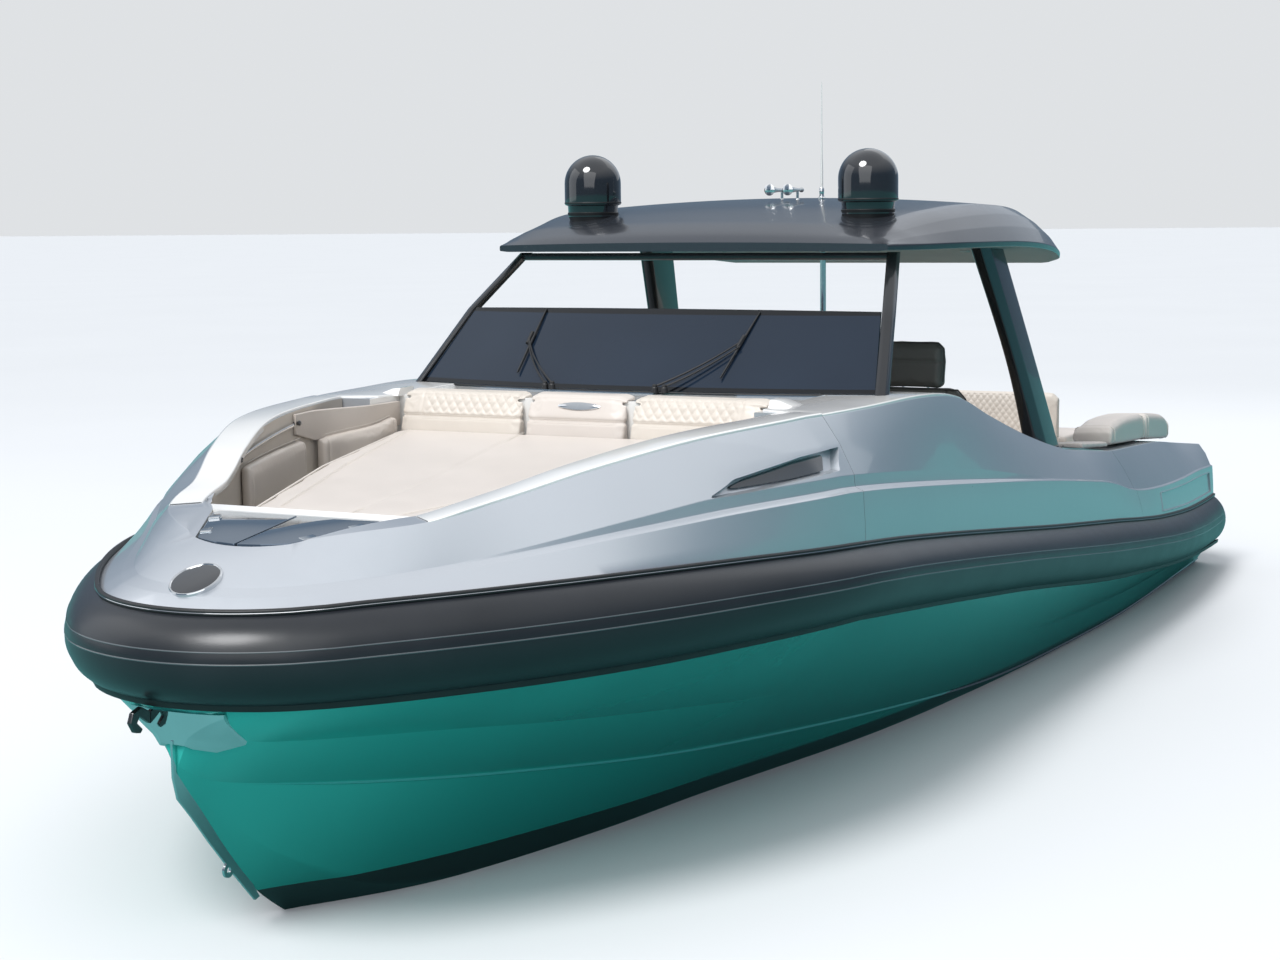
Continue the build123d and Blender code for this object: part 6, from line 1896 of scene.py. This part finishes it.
dress("sofa_base", "sofa_base_moulding", white_gelcoat, "white_gelcoat", bevel=0.012)
seat_seam = -4.60
for part, (low_y, high_y) in enumerate(((-1.068, -0.254), (-0.211, 0.603))):
    pad = soft_piece(
        f"sofa_seat_{('starboard', 'port')[part]}",
        cushion_rows((-4.85, low_y, 1.044), (-4.345, high_y, 1.152)), cream, "cream_leather", 0.011,
        0.014, replaced=["sofa_cushions"] if part else (), rests_on=0.004
    )
    press_on_top(pad, lambda place: seam_depth(place.x - seat_seam, 0.010, 0.006))
    stitch_rows(f"sofa_seat_stitches_{part}", [
        [(seat_seam + dx, y, 1.156) for y in steps_between(low_y + 0.05, high_y - 0.05, 0.1)]
        for dx in (-0.008, 0.008)
    ])
sofa_quilt = quilted("quilted_sofa", "y", "z", 1.20, 1.56, quilt_size, (0.70, 0.64, 0.57), (0.56, 0.50, 0.44))
rows = []
sofa_starboard, sofa_port = -1.068, 0.603
back_outline = [
    (-4.876, 1.05, 0.015), (-4.876, 1.30, 0.03), (-4.892, 1.565, 0.03), (-4.92, 1.590, 0.03),
    (-4.962, 1.578, 0.03), (-4.966, 1.05, 0.015)
]
for y in steps_between(sofa_starboard, sofa_port, 0.05):
    edge_gap = min(y - sofa_starboard, sofa_port - y)
    drop = 0.05 * max(0, 1 - edge_gap / 0.07) ** 2
    rows.append([Vector((a, y, b - (drop if b > 1.5 else 0))) for a, b in rounded(back_outline, 4)])
sofa_back = soft_piece(
    "sofa_back", rows, sofa_quilt, "cream_leather", 0.009, 0.013, replaced=["sofa_backrest"]
)


def sofa_back_press(place, normal):
    """Diamonds on the sofa back, short of its plain end to port, and a seam at either side."""
    if place.z < 1.20 or place.z > 1.56:
        return seam_depth(place.z - 1.19, 0.010, 0.008)
    hold = held((0.36 - place.y) / 0.03) * held((place.y + 0.95) / 0.03)
    ridge = quilt_ridge(place.y / quilt_size[0], place.z / quilt_size[1])
    return 0.008 * hold * (1 - ridge) + seam_depth(place.y - 0.37, 0.008, 0.006)


press_in(sofa_back, sofa_back_press)

# padded coamings: x, gap to the side, width, height of the lower and of the upper edge
quarter_pads = {
    "pad": [(-2.138, 0.012, 0.284, 1.4315, 1.464), (-2.827, 0.012, 0.284, 1.372, 1.405)],
    "bolster_forward": [
        (-2.910, 0.010, 0.312, 1.377, 1.492), (-3.30, 0.010, 0.324, 1.355, 1.530),
        (-4.272, 0.010, 0.348, 1.284, 1.484)
    ],
    "bolster_aft": [
        (-4.308, 0.010, 0.348, 1.280, 1.481), (-5.30, 0.010, 0.352, 1.189, 1.376),
        (-5.55, 0.014, 0.342, 1.160, 1.292)
    ],
}
# how far the pads stand inside the deck edge: x in metres, inset in millimetres
pad_insets = {
    "pad": [(-2.13, 250), (-2.835, 250)],
    "bolster_forward": [(-2.9, 240), (-3.3, 240), (-4.28, 290)],
    "bolster_aft": [(-4.3, 290), (-5.3, 303), (-5.56, 310)],
}
for side, side_name in both_sides:
    for part, table in quarter_pads.items():
        insets = pad_insets[part]
        corner = 0.014 if part == "pad" else 0.055
        rows = []
        ends = (table[0][0], table[-1][0])
        for x in steps_between(*ends, 0.045):
            for (x1, a1), (x2, a2) in zip(insets, insets[1:]):
                if x >= x2:
                    break
            inset = a1 + (a2 - a1) * (x - x1) / (x2 - x1)
            gap, width, low, high = row_at(table, x)[1:]
            edge_y, out_x, out_y = edge_at(x * 1000)
            outer = (edge_y - inset / out_y) * mm - gap
            edge_gap = min(ends[0] - x, x - ends[1])
            tuck = 0 if part == "pad" else 0.035 * max(0, 1 - edge_gap / 0.06) ** 2
            outline = [
                (outer, low, corner * 0.4), (outer, high - tuck, corner),
                (outer - width, high - tuck - 0.012, corner), (outer - width, low, corner * 0.6)
            ]
            rows.append(cross_ring(x, side, outline, 4))
        pad = soft_piece(
            f"quarter_{part}_{side_name}", rows, cream, "cream_leather",
            0.006 if part == "pad" else 0.010, 0.0135,
            replaced=["quarter_cushions"] if part == "pad" and side > 0 else (), rests_on=0.004
        )
        if part != "pad":
            cuts = (ends[0] - 0.09, ends[1] + 0.09)
            press_in(pad, lambda place, normal: max(seam_depth(place.x - cut, 0.009, 0.007) for cut in cuts))
            piping_mesh = bmesh.new()
            for cut in cuts:
                gap, width, low, high = row_at(table, cut)[1:]
                edge_y = edge_at(cut * 1000)[0]
                (x1, a1), (x2, a2) = insets[0], insets[-1]
                inset = a1 + (a2 - a1) * (cut - x1) / (x2 - x1)
                outer = edge_y * mm - inset * mm - gap
                outline = [
                    (outer - 0.002, low + 0.02, 0.02), (outer - 0.002, high, corner),
                    (outer - width + 0.002, high - 0.012, corner),
                    (outer - width + 0.002, low + 0.02, 0.02)
                ]
                add_tube(piping_mesh, cross_ring(cut, side, outline, 4), 0.004, 6, closed=True)
            finish_piece(piping_mesh, f"quarter_{part}_piping_{side_name}", thread, "cream_leather")


# Engine box, its gull hatch and the sunpad: a white moulded box, a lid with rounded corners and
# a stuffed pad that lifts with it.
dress("engine_box", "engine_box_moulding", white_gelcoat, "white_gelcoat", bevel=0.008)
dress("engine_hatch", "engine_hatch_lid", white_gelcoat, "white_gelcoat", "hatch", 0.010)
sunpad_seams = (-0.42, 0.085)
sunpad = soft_piece(
    "sunpad", cushion_rows((-5.93, -0.925, 1.086), (-5.16, 0.59, 1.180), 0.07), cream, "cream_leather",
    0.010, 0.018, "hatch", replaced=["aft_sunpad"], rests_on=0.004
)
press_on_top(sunpad, lambda place: max(seam_depth(place.y - at, 0.012, 0.006) for at in sunpad_seams))
stitch_rows("sunpad_stitches", [
    [(x, at + dy, 1.185) for x in steps_between(-5.88, -5.21, 0.1)]
    for at in sunpad_seams for dy in (-0.009, 0.009)
], "hatch")


# Engines as plain blocks in grey enamel, and the two sterndrives: cast housings on the transom,
# yokes that steer and legs that tilt, painted black, with polished four-bladed propellers.
engine_enamel = gloss("engine_enamel", (0.27, 0.275, 0.285), (0.21, 0.215, 0.225), 0.4, 0.3, 0.2, 5.0, 0.0008)
drive_enamel = gloss(
    "drive_enamel", (0.055, 0.056, 0.060), (0.035, 0.036, 0.040), 0.32, 0.3, 0.4, 8.0, 0.0004
)
dress("engines", "engine_blocks", engine_enamel, "engine_paint", bevel=0.03)
dress("gimbal_housings", "gimbal_castings", drive_enamel, "drive_paint", bevel=0.006)
for name in ("port", "starboard"):
    dress(f"drive_yoke_{name}", f"yoke_{name}_casting", drive_enamel, "drive_paint", f"yoke_{name}", 0.004)
    dress(f"drive_leg_{name}", f"leg_{name}_casting", drive_enamel, "drive_paint", f"leg_{name}", 0.005)
    dress(f"propeller_{name}", f"propeller_{name}_blades", stainless, "stainless", f"screw_{name}", 0.002)


# Stem hardware in mirror-polished stainless: a guard plate wrapped round the stem under the
# collar, a strip down the stem with the towing eye and bare slots, and the anchor's fluke.
steel_mirror = gloss("steel_mirror", (0.74, 0.76, 0.77), (0.60, 0.62, 0.63), 0.06, 1.0, 0.0, 6.0)
dark_steel = gloss("dark_steel", (0.13, 0.13, 0.13), (0.08, 0.08, 0.08), 0.28, 1.0, 0.0, 14.0, 0.0004)
dress("stem_plate", "stem_guard", steel_mirror, "stainless", bevel=0.003)
dress("anchor", "anchor_fluke", dark_steel, "stainless", bevel=0.004)
dress("transom_eyes", "transom_eye_plates", stainless, "stainless", bevel=0.003)
slot_mesh = bmesh.new()
for x, z, wide, tall in (
    (5.805, 0.700, 0.016, 0.026), (5.740, 0.560, 0.018, 0.034), (5.716, 0.500, 0.014, 0.050),
    (5.690, 0.440, 0.010, 0.014)
):
    for side in (1, -1):
        row = []
        back = []
        for k in range(20):
            turn = 2 * pi * k / 20
            a = x + wide * cos(turn) * 0.8 + tall * sin(turn) * 0.5
            b = z + tall * sin(turn)
            row.append(Vector((a, side * 0.0064, b)))
            back.append(Vector((a, side * 0.004, b)))
        add_skin(slot_mesh, [back, row])
finish_piece(slot_mesh, "stem_slots", rubber, "black_trim")


# Quarter panels: a plain shallow recess in the lower band of each quarter, moulded with it and
# painted like it, inside a slim raised frame.
recess_start, recess_end = -3560, -5900


def band_point(x, t, out, side):
    """A point on the lower band of a deck moulding's flank, t of the way up to its crease."""
    low, seam, crease, crease_z = row_at(edge_stations, x)[1:5]
    inset = crease * t - 2 * min(t, 1 - t) / 0.45
    return on_edge(x, inset - out, seam + (crease_z - seam) * t, side)


for side, name in both_sides:
    quarter = bpy.data.objects[f"quarter_shell_{name}"]

    def recess(made, side=side):
        """The shallow space of the panel."""
        rows = []
        for x in steps_between(recess_start, recess_end, 60):
            mouth_and_floor = ((0.20, 12), (0.82, 12), (0.80, -7), (0.23, -7))
            rows.append([band_point(x, t, out, side) for t, out in mouth_and_floor])
        add_skin(made, rows)

    cut_away(quarter, [recess])
    frame_mesh = bmesh.new()
    path = [band_point(x, 0.20, 1, side) for x in steps_between(recess_start, recess_end, 60)]
    path += [band_point(x, 0.82, 1, side) for x in steps_between(recess_end, recess_start, 60)]
    add_tube(frame_mesh, path, 0.0055, 8, closed=True)
    finish_piece(frame_mesh, f"quarter_frame_{name}", silver_paint, "silver_paint")
    for shell in (quarter, bpy.data.objects[f"wing_shell_{name}"]):
        paint_faces(shell, white_gelcoat, lambda face: face.normal.y * side < -0.5
                    and abs(face.center.y) < edge_at(face.center.x * 1000)[0] * mm - 0.60)
    bolt_x, bolt_y = arch_rows[0][1], arch_rows[0][2]
    bolts = [
        [(bolt_x + dx, side * (bolt_y + dy), 1.4745 + dx * 0.085) for dx in (-0.19, -0.06, 0.07, 0.20)]
        for dy in (-0.082, 0.082)
    ]
    row_of(f"arch_bolts_{name}", bolts, 0.128, 0.007, 0.006, dark_steel, axis=(0.0, 0.0, 1.0))


# Plain pale floor at the waterline, and soft studio light from above, ahead and astern. The
# floor is pale where the camera sees it, and darker and greener in reflections.
floor_size = 300
floor_mesh = bmesh.new()
bmesh.ops.create_grid(floor_mesh, x_segments=1, y_segments=1, size=floor_size)
floor = new_object("floor", floor_mesh)
floor_finish = Finish("floor", 0.9)
floor_finish.set("Specular IOR Level", 0.1)
seen = floor_finish.node("ShaderNodeLightPath").field("Is Camera Ray")
pale = floor_finish.blend(floor_finish.noise(0.2, 2.0), (0.70, 0.71, 0.72), (0.73, 0.74, 0.75))
floor_finish.colour(floor_finish.blend(seen, (0.10, 0.31, 0.31), pale))
floor.data.materials.append(floor_finish.material)

world = bpy.data.worlds.new("studio")
world.use_nodes = True
bpy.context.scene.world = world
tree = world.node_tree
sky = tree.nodes["Background"]
sky.inputs["Strength"].default_value = 1.0
path_node = tree.nodes.new("ShaderNodeLightPath")
way_node = tree.nodes.new("ShaderNodeTexCoord")
split_node = tree.nodes.new("ShaderNodeSeparateXYZ")
ramp_node = tree.nodes.new("ShaderNodeValToRGB")
mix_node = tree.nodes.new("ShaderNodeMix")
mix_node.data_type = "RGBA"
tree.links.new(way_node.outputs["Generated"], split_node.inputs[0])
tree.links.new(split_node.outputs["Z"], ramp_node.inputs["Fac"])
ramp_node.color_ramp.elements[0].color = (0.14, 0.20, 0.27, 1)
ramp_node.color_ramp.elements[1].color = (0.80, 0.83, 0.87, 1)
ramp_node.color_ramp.elements[1].position = 0.75
ramp_node.color_ramp.elements.new(0.26).color = (0.155, 0.215, 0.295, 1)
tree.links.new(path_node.outputs["Is Camera Ray"], mix_node.inputs["Factor"])
tree.links.new(ramp_node.outputs["Color"], mix_node.inputs[6])
mix_node.inputs[7].default_value = (0.74, 0.76, 0.78, 1)
tree.links.new(mix_node.outputs[2], sky.inputs["Color"])

# lamps: name, kind, place, aimed at, size in metres or spread in degrees, power
lamps = [
    ("key", "SUN", (10, -2, 16), (0, 0, 1), 24, 2.2),
    ("softbox", "AREA", (15, 3, 10), (1, 0, 1), 14, 750),
    ("fill", "AREA", (8, -16, 9), (0, 0, 1), 14, 500),
    ("rim", "AREA", (-16, 2, 12), (-2, 0, 1), 16, 350),
]
for name, kind, place, target, size, power in lamps:
    lamp_data = bpy.data.lights.new(name, kind)
    if kind == "SUN":
        lamp_data.angle = radians(size)
    else:
        lamp_data.size = size
    lamp_data.energy = power
    lamp = bpy.data.objects.new(name, lamp_data)
    lamp.location = place
    lamp.rotation_euler = (Vector(target) - Vector(place)).to_track_quat("-Z", "Y").to_euler()
    bpy.context.collection.objects.link(lamp)
